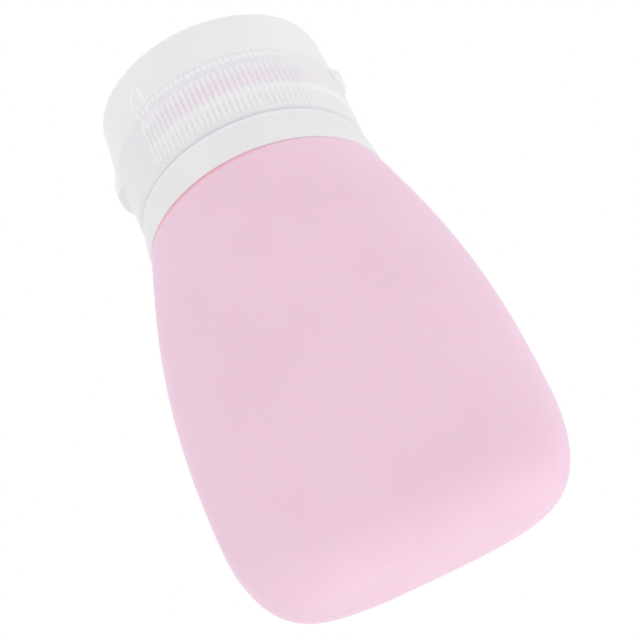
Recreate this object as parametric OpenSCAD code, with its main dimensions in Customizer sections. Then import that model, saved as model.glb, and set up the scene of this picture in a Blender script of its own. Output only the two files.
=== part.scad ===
// Soft squeeze bottle for travel: a moulded silicone body, a frosted collar with the neck thread,
// a screw cap with a ribbed skirt and a slit valve, and a lid that flips on a film hinge.
// The bottle stands upright, its wide front faces -Y and the hinge of the lid lies on -X.

/* [Body] */
// Height of the silicone body from the foot to the collar
body_h = 70.4; // [66:0.2:76]
// Largest width of the body
body_w = 57.5; // [54:0.5:61]
// Depth of the body just above the foot
body_d = 24; // [22:0.2:28]
// Height at which the body is widest
widest_z = 20; // [18:0.5:23]
// Power of the curve that draws the sides in towards the collar
side_power = 2.2; // [2:0.1:2.8]
// Power of the rounded lower corners in the front view
corner_power = 2.6; // [2.2:0.1:2.8]
// Power of the rounded section in the lower half of the body
section_power = 2.8; // [2.4:0.1:3.2]
// Height of the rounding under the front and the back
base_round = 9; // [8:0.5:10]
// Power of the rounding under the front and the back
base_power = 1.9; // [1.8:0.1:2.2]
// Length of the flat foot
foot_l = 28; // [26:1:31]
// Width of the flat foot
foot_w = 8; // [7.5:0.5:10]
// Thickness of the silicone wall
body_wall = 2; // [1.8:0.1:2.4]
// Wall of the silicone neck inside the collar
neck_wall = 2; // [1.8:0.1:2.2]
// Thickness of the silicone lip that seals under the cap
lip_t = 2.7; // [2.2:0.1:3]

/* [Collar] */
// How much smaller the collar's diameter is at its top than the cap's over its ribs
collar_step = 0.2; // [0:0.1:0.6]
// How much wider the collar's diameter is where it meets the body
collar_flare = 1.6; // [1:0.1:3]
// Height of the visible band of the collar
collar_h = 7.2; // [6.4:0.1:8.4]
// Height of the threaded neck above the band
neck_h = 6.2; // [6:0.1:6.6]
// Wall of the threaded neck under its thread
neck_t = 1.9; // [1.6:0.1:2.4]
// Wall of the outer band of the collar
collar_wall = 1.5; // [1.2:0.1:1.8]

/* [Thread] */
// Rise of the thread in one turn
thread_pitch = 3.2; // [3:0.1:3.4]
// Height of the thread ridge over its root
thread_depth = 1.1; // [1:0.05:1.2]
// Width of the thread ridge at its root
thread_root_w = 1.5; // [1.3:0.05:1.6]
// Width of the thread ridge at its crest
thread_crest_w = 0.8; // [0.6:0.05:0.9]
// Angle that the neck thread runs round the neck
thread_turn = 360; // [320:10:370]

/* [Cap] */
// Diameter of the cap over its ribs
cap_d = 40.2; // [38:0.1:44]
// Height of the cap from its lower edge to the rim
cap_h = 13; // [12.8:0.1:13.6]
// Height of the ribs over the skirt
rib_depth = 0.35; // [0.25:0.05:0.45]
// Number of rib pitches round the whole skirt
rib_count = 124; // [96:4:132]
// Height at which the ribs start
rib_start = 0.7; // [0.6:0.1:1.2]
// Height at which the long ribs end
rib_end = 10.7; // [10.4:0.1:10.8]
// Height at which the short top ribs start
dot_start = 11.6; // [11.4:0.1:11.8]
// Thickness of the skirt wall under the ribs
skirt_wall = 1.35; // [1.2:0.05:1.4]
// Thickness of the deck
deck_t = 1.5; // [1.2:0.1:1.6]
// Wall of the nozzle at its top
nozzle_wall = 1.5; // [1.2:0.1:1.8]
// Height of the nozzle over the deck
nozzle_h = 2.1; // [1.6:0.1:2.3]

/* [Lid] */
// How much smaller the lid's diameter is than the cap's over its ribs
lid_step = 0.7; // [0.4:0.1:1]
// How much smaller the lid's diameter is at its top
lid_draft = 0.5; // [0.2:0.1:1]
// Height of the lid above the rim of the cap
lid_h = 8.9; // [8:0.1:10.4]
// Rounding of the top edge of the lid
lid_round = 1.3; // [1:0.1:2]
// Thickness of the lid wall
lid_wall = 1.35; // [1.2:0.05:1.5]
// Reach of the thumb tab beyond the wall of the lid
tab_out = 1.1; // [1:0.1:1.8]
// Width of the thumb tab
tab_w = 5; // [4.4:0.2:7]
// Depth by which the thumb tab hangs below the rim
tab_drop = 2.1; // [1:0.1:2.4]
// Height of the thumb tab above the rim
tab_rise = 0.5; // [0.4:0.1:1.6]

/* [Hinge] */
// Reach of the hinge flanges beyond the ribs
hinge_out = 0.9; // [0.7:0.1:1.2]
// Height of the hinge line below the rim of the cap
hinge_drop = 2.1; // [2:0.1:2.2]
// Width of the hinge flanges
hinge_w = 6; // [5:0.2:9]
// Thickness of the flange on the cap
cap_flange_t = 2.3; // [1.5:0.1:2.5]
// Thickness of the flange on the lid
lid_flange_t = 1; // [1:0.1:2]
// Thickness of the hinge film
film_t = 0.3; // [0.25:0.05:0.4]
// Width of the hinge film
film_w = 3; // [2.4:0.2:3.6]
// Distance from the axis to the step at the ends of the hinge side
step_x = 10.8; // [10:0.2:12]
// Width of the notch at the step
notch_w = 2.9; // [2.4:0.1:3.2]
// Height of the notch in the lid
notch_up = 3.4; // [2.6:0.2:4]
// Depth of the notch in the cap below the rim
notch_down = 3.7; // [3:0.1:4]

/* [Valve] */
// Gap between the ring that plugs the mouth and the boss that holds the valve
boss_gap = 2.4; // [2:0.1:3]
// Width of the seat on which the valve flange lies
seat_w = 2.8; // [2.4:0.1:3.2]
// Thickness of the valve flange
valve_flange_t = 1.2; // [1:0.1:1.4]
// Thickness of the slit membrane
membrane_t = 0.8; // [0.6:0.1:1]
// Share of the cup's inner width that each slit takes
slit_share = 0.64; // [0.5:0.02:0.8]
// Width of each slit
slit_w = 0.12; // [0.1:0.02:0.2]
// Thickness of the ring that holds the valve
retainer_t = 1.4; // [1.2:0.1:1.6]

/* [Fits] */
// Gap between the collar and the lower edge of the cap
cap_gap = 0.3; // [0.2:0.05:0.5]
// Gap between the rim of the cap and the lid
lid_gap = 0.15; // [0.1:0.05:0.2]
// Gap between the lip and the deck
seal_gap = 0.1; // [0.05:0.05:0.15]
// Play between moulded pieces that sit inside each other
fit_gap = 0.1; // [0.05:0.01:0.12]
// Play between pieces that move past each other
move_gap = 0.3; // [0.3:0.02:0.36]
// Play between the crest of one thread and the root of the other
crest_gap = 0.4; // [0.35:0.05:0.45]

/* [Hidden] */
$fn = 96;
sink = 0.3;
edge = 0.4;
small_edge = 0.3;
ring_points = 76;
film_h = 1.7;
film_gap = 0.15;
film_play = 0.02;
step_gap = 0.2;
thread_end_gap = 0.1;
thread_step = 10;
thread_fade = 25;
thread_low = 0.3;
thread_least = 0.02;
cap_thread_from = 70;
cap_thread_to = 500;
rib_sink = 0.05;
rib_foot = 0.4;
rib_crest = 0.2;
tab_margin = 1.2;
flange_power = 2.6;
notch_depth = 0.45;
notch_lean = 1.2;
nozzle_flare = 0.5;
collar_taper = 0.5;
neck_low_step = 0.1;
ring_wall = 1;
ring_lap = 1;
dish = 0.6;
post_share = 0.615;
plug_h = 2.6;
plug_wall = 1.1;
seal_wall = 1;
boss_wall = 1.3;
cup_wall = 1;
slit_cut = 3;
wall_fade = 10;
collar_z = body_h;
collar_top_z = collar_z + collar_h;
cap_z = collar_top_z + cap_gap;
neck_top_z = collar_top_z + neck_h;
rim_z = cap_z + cap_h;
hinge_z = rim_z - hinge_drop;
lid_z = rim_z + lid_gap;
lid_top_z = lid_z + lid_h;
cap_r = cap_d / 2;
skirt_r = cap_r - rib_depth;
rim_in_r = skirt_r - skirt_wall;
skirt_in_r = rim_in_r;
crest_r = skirt_in_r - crest_gap;
neck_root_r = crest_r - thread_depth;
cap_crest_r = neck_root_r + crest_gap;
neck_bore_r = neck_root_r - neck_t;
mouth_r = neck_bore_r - fit_gap - neck_wall;
collar_top_r = cap_r - collar_step / 2;
collar_r = collar_top_r + collar_flare / 2;
lip_r = neck_root_r - fit_gap;
lip_top_z = neck_top_z + fit_gap + lip_t;
deck_z = lip_top_z + seal_gap;
deck_top_z = deck_z + deck_t;
nozzle_top_z = deck_top_z + nozzle_h;
ring_z = nozzle_top_z - ring_lap;
membrane_z = deck_top_z + edge;
post_z = membrane_z - dish + 2 * move_gap;
lid_r = cap_r - lid_step / 2;
lid_top_r = lid_r - lid_draft / 2;
hinge_x = cap_r + hinge_out;
film_x = hinge_x + film_t;
span = 2 * cap_d;
plug_out_r = mouth_r - move_gap;
plug_in_r = plug_out_r - seal_wall;
boss_out_r = plug_in_r - boss_gap;
boss_in_r = boss_out_r - boss_wall;
valve_r = boss_in_r - fit_gap;
hole_r = valve_r - seat_w;
nozzle_r = hole_r + nozzle_wall;
cup_r = hole_r - fit_gap;
cup_in_r = cup_r - cup_wall;
slit_l = 2 * slit_share * cup_in_r;
post_r = post_share * cup_in_r;
seat_z = deck_z - fit_gap;
flange_low_z = seat_z - valve_flange_t;
retainer_low_z = flange_low_z - fit_gap - retainer_t;
boss_low_z = retainer_low_z - edge;

// Arc of n steps round the point [x, y], from angle a to angle b.
function arc(x, y, r, a, b, n) =
    [for (i = [0:n]) [x + r * cos(a + (b - a) * i / n), y + r * sin(a + (b - a) * i / n)]];

// Quarter of a superellipse that rises from 0 to 1 as t goes from 0 to 1.
function round_up(t, p) = pow(max(0, 1 - pow(1 - min(1, max(0, t)), p)), 1 / p);

// Half the width of the body at height z.
function half_w(z) =
    z < widest_z
    ? foot_l / 2 + (body_w - foot_l) / 2 * round_up(z / widest_z, corner_power)
    : collar_r + (body_w / 2 - collar_r) * (1 - pow((z - widest_z) / (body_h - widest_z), side_power));

// Half the depth that the straight front would have at height z.
function face_d(z) = body_d / 2 + (collar_r - body_d / 2) * max(0, z - base_round) / (body_h - base_round);

// Half the depth of the body at height z.
function half_d(z) = foot_w / 2 + (face_d(z) - foot_w / 2) * round_up(z / base_round, base_power);

// Power of the section at height z: round at the collar, flatter below.
function power_at(z) =
    let (t = min(1, max(0, (body_h - z) / (body_h * 0.6)))) 2 + (section_power - 2) * t * t * (3 - 2 * t);

// One ring of the body, its half sizes w and d and its power p given.
function ring(w, d, p, z) =
    [for (i = [0:ring_points - 1])
        let (a = 360 * i / ring_points, c = cos(a), s = sin(a),
             k = pow(pow(abs(c), p) + pow(abs(s), p), -1 / p))
        [w * k * c, d * k * s, z]];

// Heights of the rings, close together near the foot.
low_steps = 12;
high_steps = 20;
outer_z = concat(
    [for (i = [0:low_steps]) widest_z * (1 - cos(90 * i / low_steps))],
    [for (i = [1:high_steps]) widest_z + (body_h - widest_z) * i / high_steps]);
shoulder_in_z = body_h - body_wall;
inner_low_steps = 9;
inner_high_steps = 9;
inner_z = concat(
    [for (i = [0:inner_low_steps])
        body_wall + (widest_z - body_wall) * (1 - cos(90 * i / inner_low_steps))],
    [for (i = [1:inner_high_steps]) widest_z + (shoulder_in_z - widest_z) * i / inner_high_steps]);

// Sections of the cavity follow the outer ones, drawn in by the wall.
function inner_low(z) = z - body_wall * (1 - min(1, max(0, (z - widest_z) / wall_fade)));
shell_rings = concat(
    [for (z = outer_z) ring(half_w(z), half_d(z), power_at(z), z)],
    [ring(mouth_r + sink, mouth_r + sink, 2, body_h)],
    [ring(mouth_r + sink, mouth_r + sink, 2, shoulder_in_z)],
    [for (i = [len(inner_z) - 1:-1:0])
        let (z = inner_z[i], q = inner_low(z))
        ring(half_w(q) - body_wall, half_d(q) - body_wall, power_at(q), z)]);

// Faces of a stack of rings closed with a flat face at both ends.
function skin(n, m) = concat(
    [[for (i = [0:n - 1]) i]],
    [for (j = [0:m - 2]) for (i = [0:n - 1])
        let (a = j * n + i, b = j * n + (i + 1) % n) [a, a + n, b + n]],
    [for (j = [0:m - 2]) for (i = [0:n - 1])
        let (a = j * n + i, b = j * n + (i + 1) % n) [a, b + n, b]],
    [[for (i = [n - 1:-1:0]) (m - 1) * n + i]]);

module body_shell() {
    points = [for (r = shell_rings) for (q = r) q];
    polyhedron(points = points, faces = skin(ring_points, len(shell_rings)), convexity = 6);
}

module bottle_body() {
    color([0.925, 0.8, 0.865])
    union() {
        body_shell();
        rotate_extrude()
        polygon([
            [mouth_r, shoulder_in_z + edge],
            [neck_bore_r - fit_gap, shoulder_in_z + edge],
            [neck_bore_r - fit_gap, neck_top_z + fit_gap],
            [lip_r, neck_top_z + fit_gap],
            [lip_r, lip_top_z - edge],
            [lip_r - edge, lip_top_z],
            [mouth_r + edge, lip_top_z],
            [mouth_r, lip_top_z - edge]]);
    }
}

// Helical ridge from angle a to angle b; r0 is its root and r1 its crest, z0 its height at angle 0.
module ridge(r0, r1, z0, a, b) {
    steps = ceil((b - a) / thread_step);
    points = [for (i = [0:steps])
        let (t = a + (b - a) * i / steps,
             k = min(1, min(t - a, b - t) / thread_fade + thread_least),
             z = z0 + thread_pitch * t / 360,
             root = thread_root_w / 2, crest = root + (thread_crest_w / 2 - root) * k,
             r = r0 + (r1 - r0) * (thread_low + (1 - thread_low) * k))
        for (q = [[r0, -root], [r, -crest], [r, crest], [r0, root]])
        [q[0] * cos(t), q[0] * sin(t), z + q[1]]];
    turned = r1 > r0;
    sides = [for (i = [0:steps - 1]) for (j = [0:3])
        let (p = 4 * i + j, q = 4 * i + (j + 1) % 4)
        for (f = [[p, q, q + 4], [p, q + 4, p + 4]]) turned ? f : [f[2], f[1], f[0]]];
    ends = [[3, 2, 1, 0], [4 * steps, 4 * steps + 1, 4 * steps + 2, 4 * steps + 3]];
    polyhedron(
        points = points,
        faces = concat(sides, turned ? ends : [for (f = ends) [f[3], f[2], f[1], f[0]]]),
        convexity = 8);
}

neck_thread_z = neck_top_z - thread_end_gap - thread_root_w / 2 - thread_pitch * thread_turn / 360;
cap_thread_z = neck_thread_z - thread_pitch / 2;

module neck_collar() {
    bulge = [for (i = [0:8])
        let (t = i / 8)
        [collar_top_r - small_edge + (collar_r - collar_top_r + small_edge) * sin(90 * t),
         collar_top_z - small_edge - (collar_h - small_edge) * t]];
    color([0.93, 0.93, 0.93, 0.9])
    union() {
        rotate_extrude()
        polygon(concat(
            [[neck_bore_r, collar_z + fit_gap / 2],
             [neck_bore_r, neck_top_z],
             [neck_root_r - edge, neck_top_z],
             [neck_root_r, neck_top_z - edge],
             [neck_root_r, collar_top_z],
             [collar_top_r - 2 * small_edge, collar_top_z]],
            [for (i = [0:7]) bulge[i]],
            [[collar_r, collar_z + fit_gap / 2],
             [collar_r - collar_wall, collar_z + fit_gap / 2],
             [collar_top_r - collar_wall - collar_taper, collar_top_z - collar_wall],
             [neck_root_r - neck_low_step, collar_top_z - collar_wall],
             [neck_root_r - neck_low_step, collar_z + fit_gap / 2]]));
        ridge(neck_root_r - sink, crest_r, neck_thread_z, 0, thread_turn);
    }
}

// Outline of the ribbed skirt; the ribs leave out the hinge side and the place of the thumb tab.
function rib_point(i, c) =
    let (pitch = 360 / rib_count,
         a = pitch * i,
         tab_side = cos(a) > cos(atan2(tab_w / 2 + tab_margin, skirt_r)),
         hinge_side = cos(a) * skirt_r < -step_x,
         r = tab_side || hinge_side || c == 0 || c == 3 ? skirt_r - rib_sink : cap_r,
         b = a + [-rib_foot, -rib_crest, rib_crest, rib_foot][c] * pitch)
    [r * cos(b), r * sin(b)];

module ribs(z0, z1) {
    translate([0, 0, z0])
    difference() {
        linear_extrude(height = z1 - z0)
        polygon([for (i = [0:rib_count - 1]) for (c = [0:3]) rib_point(i, c)]);
        translate([0, 0, -1])
        cylinder(r = skirt_r - skirt_wall / 2, h = z1 - z0 + 2);
    }
}

// Flange with a rounded outline from radius x0 out to x1, standing on the plane z = 0.
module flange(x0, x1, h) {
    linear_extrude(height = h)
    polygon([for (i = [0:24])
        let (a = -90 + 7.5 * i, c = cos(a), t = sin(a),
             k = pow(pow(abs(c), flange_power) + pow(abs(t), flange_power), -1 / flange_power))
        [-x0 - (x1 - x0) * k * c, -hinge_w / 2 * k * t]]);
}

// Block over the hinge side, from the step at x outwards.
module hinge_block(x, z, h) {
    translate([-span, -span, z])
    cube([span - x, 2 * span, h]);
}

module cap() {
    color([0.93, 0.93, 0.93, 0.7])
    union() {
        difference() {
            union() {
                rotate_extrude()
                polygon([
                    [skirt_in_r + edge, cap_z],
                    [skirt_r - small_edge, cap_z],
                    [skirt_r, cap_z + small_edge],
                    [skirt_r, rim_z - small_edge],
                    [skirt_r - small_edge, rim_z],
                    [rim_in_r, rim_z],
                    [rim_in_r, deck_top_z],
                    [nozzle_r + nozzle_flare, deck_top_z],
                    [nozzle_r, nozzle_top_z],
                    [hole_r + edge, nozzle_top_z],
                    [hole_r, nozzle_top_z - edge],
                    [hole_r, deck_z],
                    [boss_in_r, deck_z],
                    [boss_in_r, boss_low_z],
                    [boss_out_r, boss_low_z],
                    [boss_out_r, deck_z],
                    [plug_in_r, deck_z],
                    [plug_in_r, deck_z - plug_h],
                    [plug_out_r - edge, deck_z - plug_h],
                    [plug_out_r, deck_z - plug_h + 2 * edge],
                    [plug_out_r, deck_z],
                    [skirt_in_r, deck_z],
                    [skirt_in_r, cap_z + edge]]);
                ribs(cap_z + rib_start, cap_z + rib_end);
                ribs(cap_z + dot_start, rim_z - small_edge);
            }
            difference() {
                hinge_block(step_x, hinge_z - film_gap, cap_h);
                cylinder(r = rim_in_r - sink, h = rim_z + 1);
            }
            notch(-1);
        }
        translate([0, 0, hinge_z - film_gap - cap_flange_t])
        flange(rim_in_r + small_edge, hinge_x, cap_flange_t);
        ridge(skirt_in_r + sink, cap_crest_r, cap_thread_z, cap_thread_from, cap_thread_to);
    }
}

// Shallow notch over the step on both sides: side -1 goes down into the cap, side 1 up into the lid.
module notch(side) {
    skin_r = side < 0 ? skirt_r : lid_r;
    right = notch_w - notch_lean;
    low = [[-notch_lean, 1], [small_edge, -notch_down], [right, 1]];
    high = [[-notch_lean, -notch_up], [-notch_lean / 2, notch_up],
            [right + small_edge, notch_up], [right, -notch_up]];
    intersection() {
        translate([-step_x, cap_r, rim_z])
        rotate([90, 0, 0])
        linear_extrude(height = cap_d)
        polygon(side < 0 ? low : high);
        difference() {
            cylinder(r = span, h = lid_top_z);
            translate([0, 0, -1])
            cylinder(r = skin_r - notch_depth, h = lid_top_z + 2);
        }
    }
}

// Thin film that joins the two flanges on their outer faces.
module film_hinge() {
    color([0.95, 0.95, 0.95, 0.8])
    translate([-film_x, -film_w / 2, hinge_z - film_h / 2])
    cube([film_t - film_play, film_w, film_h]);
}

module lid() {
    r = lid_r;
    rt = lid_top_r;
    low = hinge_z + film_gap;
    roof = lid_top_z - lid_wall;
    plug_r = rim_in_r - move_gap;
    ring_r = nozzle_r + 2 * move_gap;
    color([0.93, 0.93, 0.93, 0.7])
    difference() {
        union() {
            rotate_extrude()
            polygon(concat(
                [[0, roof], [0, lid_top_z]],
                arc(rt - lid_round, lid_top_z - lid_round, lid_round, 90, 0, 6),
                [[r, low], [r - lid_wall, low],
                 [r - lid_wall, lid_z],
                 [plug_r, lid_z - fit_gap],
                 [plug_r, low + 2 * small_edge],
                 [plug_r - small_edge, low + small_edge],
                 [plug_r - plug_wall, low + small_edge],
                 [plug_r - plug_wall, lid_z + plug_wall],
                 [rt - lid_wall, roof]]));
            translate([0, 0, low])
            flange(rim_in_r + small_edge, hinge_x, lid_flange_t);
            tab();
            translate([0, 0, ring_z])
            difference() {
                cylinder(r = ring_r + ring_wall, h = roof - ring_z + sink);
                translate([0, 0, -1])
                cylinder(r = ring_r, h = roof - ring_z + 1);
            }
            translate([0, 0, post_z])
            cylinder(r = post_r, h = roof - post_z + sink);
        }
        difference() {
            translate([-step_x - step_gap, -span, lid_z - cap_h])
            cube([2 * span, 2 * span, cap_h]);
            cylinder(r = r - lid_wall - film_play, h = lid_top_z);
            tab_space();
        }
        notch(1);
    }
}

// Thumb tab on +X; it hangs outside the ribs of the cap.
module tab() {
    top_z = lid_z + tab_rise;
    low_z = lid_z - tab_drop;
    x_in = lid_r - lid_wall / 2;
    x_out = lid_r + tab_out - x_in;
    intersection() {
        translate([0, 0, low_z])
        linear_extrude(height = top_z - low_z)
        polygon([for (i = [0:16])
            let (a = -90 + 180 * i / 16) [x_in + x_out * cos(a), tab_w / 2 * sin(a)]]);
        union() {
            translate([0, -span, lid_z])
            cube([span, 2 * span, lid_h]);
            tab_space();
        }
    }
}

// Space outside the ribs in which the thumb tab may hang below the rim.
module tab_space() {
    difference() {
        translate([0, -tab_w, cap_z])
        cube([span, 2 * tab_w, lid_z + film_play - cap_z]);
        translate([0, 0, cap_z - 1])
        cylinder(r = skirt_r + move_gap, h = cap_h + lid_h);
    }
}

module valve() {
    top = membrane_z;
    color([0.96, 0.9, 0.93])
    difference() {
        rotate_extrude()
        polygon(concat(
            [[0, top - dish - membrane_t]],
            [[cup_in_r, top - membrane_t],
             [cup_in_r, flange_low_z],
             [valve_r, flange_low_z],
             [valve_r, seat_z],
             [cup_r, seat_z],
             [cup_r, top],
             [cup_r - 2 * small_edge, top + small_edge],
             [0, top - dish]]));
        for (a = [0, 90])
            rotate(a)
            translate([-slit_l / 2, -slit_w / 2, top - slit_cut])
            cube([slit_l, slit_w, slit_cut + 1]);
    }
}

module valve_retainer() {
    color([0.93, 0.93, 0.93])
    translate([0, 0, retainer_low_z])
    difference() {
        cylinder(r = valve_r, h = retainer_t);
        translate([0, 0, -1])
        cylinder(r = hole_r - cup_wall, h = retainer_t + 2);
    }
}

bottle_body();
neck_collar();
cap();
film_hinge();
lid();
valve();
valve_retainer();
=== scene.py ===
import logging
import math
from dataclasses import dataclass
from enum import Enum

import bpy
import numpy as np
from mathutils import Matrix, Vector


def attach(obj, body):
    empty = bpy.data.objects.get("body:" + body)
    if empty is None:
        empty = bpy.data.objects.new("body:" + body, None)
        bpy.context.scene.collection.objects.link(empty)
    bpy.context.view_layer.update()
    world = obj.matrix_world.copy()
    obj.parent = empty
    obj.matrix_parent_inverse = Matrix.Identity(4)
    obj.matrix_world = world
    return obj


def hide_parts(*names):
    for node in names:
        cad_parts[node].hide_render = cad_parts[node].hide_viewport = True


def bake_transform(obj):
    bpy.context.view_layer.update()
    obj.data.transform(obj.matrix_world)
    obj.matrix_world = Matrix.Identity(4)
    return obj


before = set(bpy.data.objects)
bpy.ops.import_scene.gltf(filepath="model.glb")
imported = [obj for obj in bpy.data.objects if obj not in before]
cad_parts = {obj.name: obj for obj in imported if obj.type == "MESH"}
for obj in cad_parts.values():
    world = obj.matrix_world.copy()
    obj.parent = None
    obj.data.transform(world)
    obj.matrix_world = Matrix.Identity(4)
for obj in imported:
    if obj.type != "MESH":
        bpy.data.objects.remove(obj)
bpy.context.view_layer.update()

LOG = logging.getLogger("travel_bottle")
Array = np.ndarray
MM = 0.001
SHARP_ANGLE = math.radians(48)
ROUND_POWER = 2.0


class Side(Enum):
    """Which way a flange of the hinge or a notch points."""

    DOWN = -1
    UP = 1


@dataclass(frozen=True)
class Levels:
    """Heights above the foot, in millimetres, that the closure's pieces share."""

    shoulder: float = 70.4
    collar_edge: float = 77.74
    cap_edge: float = 77.77
    cap_low: float = 77.9
    neck_top: float = 83.8
    lip_top: float = 86.6
    deck_low: float = 86.7
    deck_top: float = 88.2
    hinge: float = 88.8
    hinge_play: float = 0.025
    nozzle_top: float = 90.3
    rim: float = 90.9
    lid_low: float = 90.925
    lid_top: float = 99.95


LEVELS = Levels()


def smooth_step(value: Array, low: float, high: float) -> Array:
    """Rises from 0 at low to 1 at high as 3t^2 - 2t^3.

    Args:
        value: Where the step is read.
        low: Value at which the step starts.
        high: Value at which the step ends; it may lie under low.

    Returns:
        The step's height at each value.
    """
    t = np.clip((value - low) / (high - low), 0.0, 1.0)
    return t * t * (3.0 - 2.0 * t)


@dataclass(frozen=True)
class Ease:
    """Soft change from 0 at its start to 1 at its full value, which may be the lower one."""

    start: float
    full: float

    def share(self, value: Array) -> Array:
        """The soft step, read at each value."""
        return smooth_step(value, self.start, self.full)


@dataclass(frozen=True)
class Window:
    """Soft window: 1 from full to last, and eased to 0 at its start and its end."""

    start: float
    full: float
    last: float
    end: float

    def share(self, value: Array) -> Array:
        """The product of the two soft steps, read at each value."""
        return smooth_step(value, self.start, self.full) * smooth_step(
            value, self.end, self.last)


@dataclass(frozen=True)
class Parting:
    """Line in which cap and lid part. It steps down to the hinge side at step_x."""

    step_x: float = -12.1
    rise: float = 0.75
    beside_ear: Ease = Ease(1.8, 5.5)

    def height(self, y: Array) -> Array:
        """Height of the line on the hinge side: z = h + rise s(|y|).

        Args:
            y: Distance from the plane through the middle of the hinge.

        Returns:
            The height, lowest between the ears of the hinge.
        """
        return LEVELS.hinge + self.rise * self.beside_ear.share(np.abs(y))


PARTING = Parting()


def soften(corners: Array, reach: Array, steps: int = 6) -> Array:
    """Rounds the corners of a profile.

    Corner C gives way to the parabola (1-t)^2 A + 2t(1-t) C + t^2 B, where A and B lie
    reach before and after C on its two sides, or 45 percent of a shorter side.

    Args:
        corners: Profile corners (n, 2) as radius and height; the profile is closed.
        reach: Distance from each corner at which its rounding starts.
        steps: Number of pieces of each parabola.

    Returns:
        The rounded profile, steps + 1 points for each corner.
    """
    before = np.roll(corners, 1, axis=0) - corners
    after = np.roll(corners, -1, axis=0) - corners
    size_before = np.maximum(np.linalg.norm(before, axis=1), 1e-9)
    size_after = np.maximum(np.linalg.norm(after, axis=1), 1e-9)
    first = corners + before * (np.minimum(reach, 0.45 * size_before) / size_before)[:, None]
    last = corners + after * (np.minimum(reach, 0.45 * size_after) / size_after)[:, None]
    t = np.linspace(0.0, 1.0, steps + 1)[None, :, None]
    middle = 2.0 * t * (1.0 - t) * corners[:, None]
    curve = (1.0 - t) ** 2 * first[:, None] + middle + t**2 * last[:, None]
    return curve.reshape(-1, 2)


def soften_open(corners: Array, reach: Array, steps: int = 6) -> Array:
    """Rounds a profile that starts and ends on the axis, whose two ends stay as they are.

    Args:
        corners: Profile corners (n, 2).
        reach: Rounding distance of each corner; the ends' values aren't used.
        steps: Number of pieces of each parabola.

    Returns:
        The rounded open profile.
    """
    inside = soften(corners, reach, steps)[steps + 1 : -(steps + 1)]
    return np.vstack([corners[:1], inside, corners[-1:]])


def refine(profile: Array, closed: bool, step: float, fine: float, low: float, high: float,
           radius: float) -> Array:
    """Cuts long sides of a profile into equal parts.

    A side is cut into ceil(length / s) parts, with s = fine where its middle lies between
    the heights low and high and beyond the radius, and s = step elsewhere.

    Args:
        profile: Points (n, 2) as radius and height.
        closed: Whether the last point joins the first.
        step: Longest side in most places.
        fine: Longest side in the finely cut zone.
        low: Lower end of that zone.
        high: Upper end of that zone.
        radius: Inner limit of that zone.

    Returns:
        The profile with the added points.
    """
    starts = profile if closed else profile[:-1]
    ends = np.roll(profile, -1, axis=0) if closed else profile[1:]
    middle = (starts + ends) / 2.0
    zone = (middle[:, 1] > low) & (middle[:, 1] < high) & (middle[:, 0] > radius)
    longest = np.where(zone, fine, step)
    parts = np.maximum(1, np.ceil(np.linalg.norm(ends - starts, axis=1) / longest)).astype(int)
    side = np.repeat(np.arange(len(parts)), parts)
    first = np.repeat(np.cumsum(parts) - parts, parts)
    share = ((np.arange(parts.sum()) - first) / parts[side])[:, None]
    made = starts[side] * (1.0 - share) + ends[side] * share
    return made if closed else np.vstack([made, profile[-1:]])


def turned(profile: Array, angles: Array) -> Array:
    """Turns a profile round the axis: P = (r cos a, r sin a, z).

    Args:
        profile: Points (rows, 2), or radius and height fields (rows, columns, 2).
        angles: Angles of the columns.

    Returns:
        Points (rows, columns, 3).
    """
    field = profile if profile.ndim == 3 else np.repeat(profile[:, None], len(angles), axis=1)
    radius, height = field[..., 0], field[..., 1]
    return np.stack([radius * np.cos(angles), radius * np.sin(angles), height], axis=-1)


def grid_normals(points: Array) -> Array:
    """Unit normals of a grid whose columns run round: cross product of its two tangents.

    Args:
        points: Grid (rows, columns, 3).

    Returns:
        Normals (rows, columns, 3).
    """
    across = np.roll(points, -1, axis=1) - np.roll(points, 1, axis=1)
    along = np.gradient(points, axis=0)
    normal = np.cross(across, along)
    return normal / np.maximum(np.linalg.norm(normal, axis=-1, keepdims=True), 1e-12)


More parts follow.
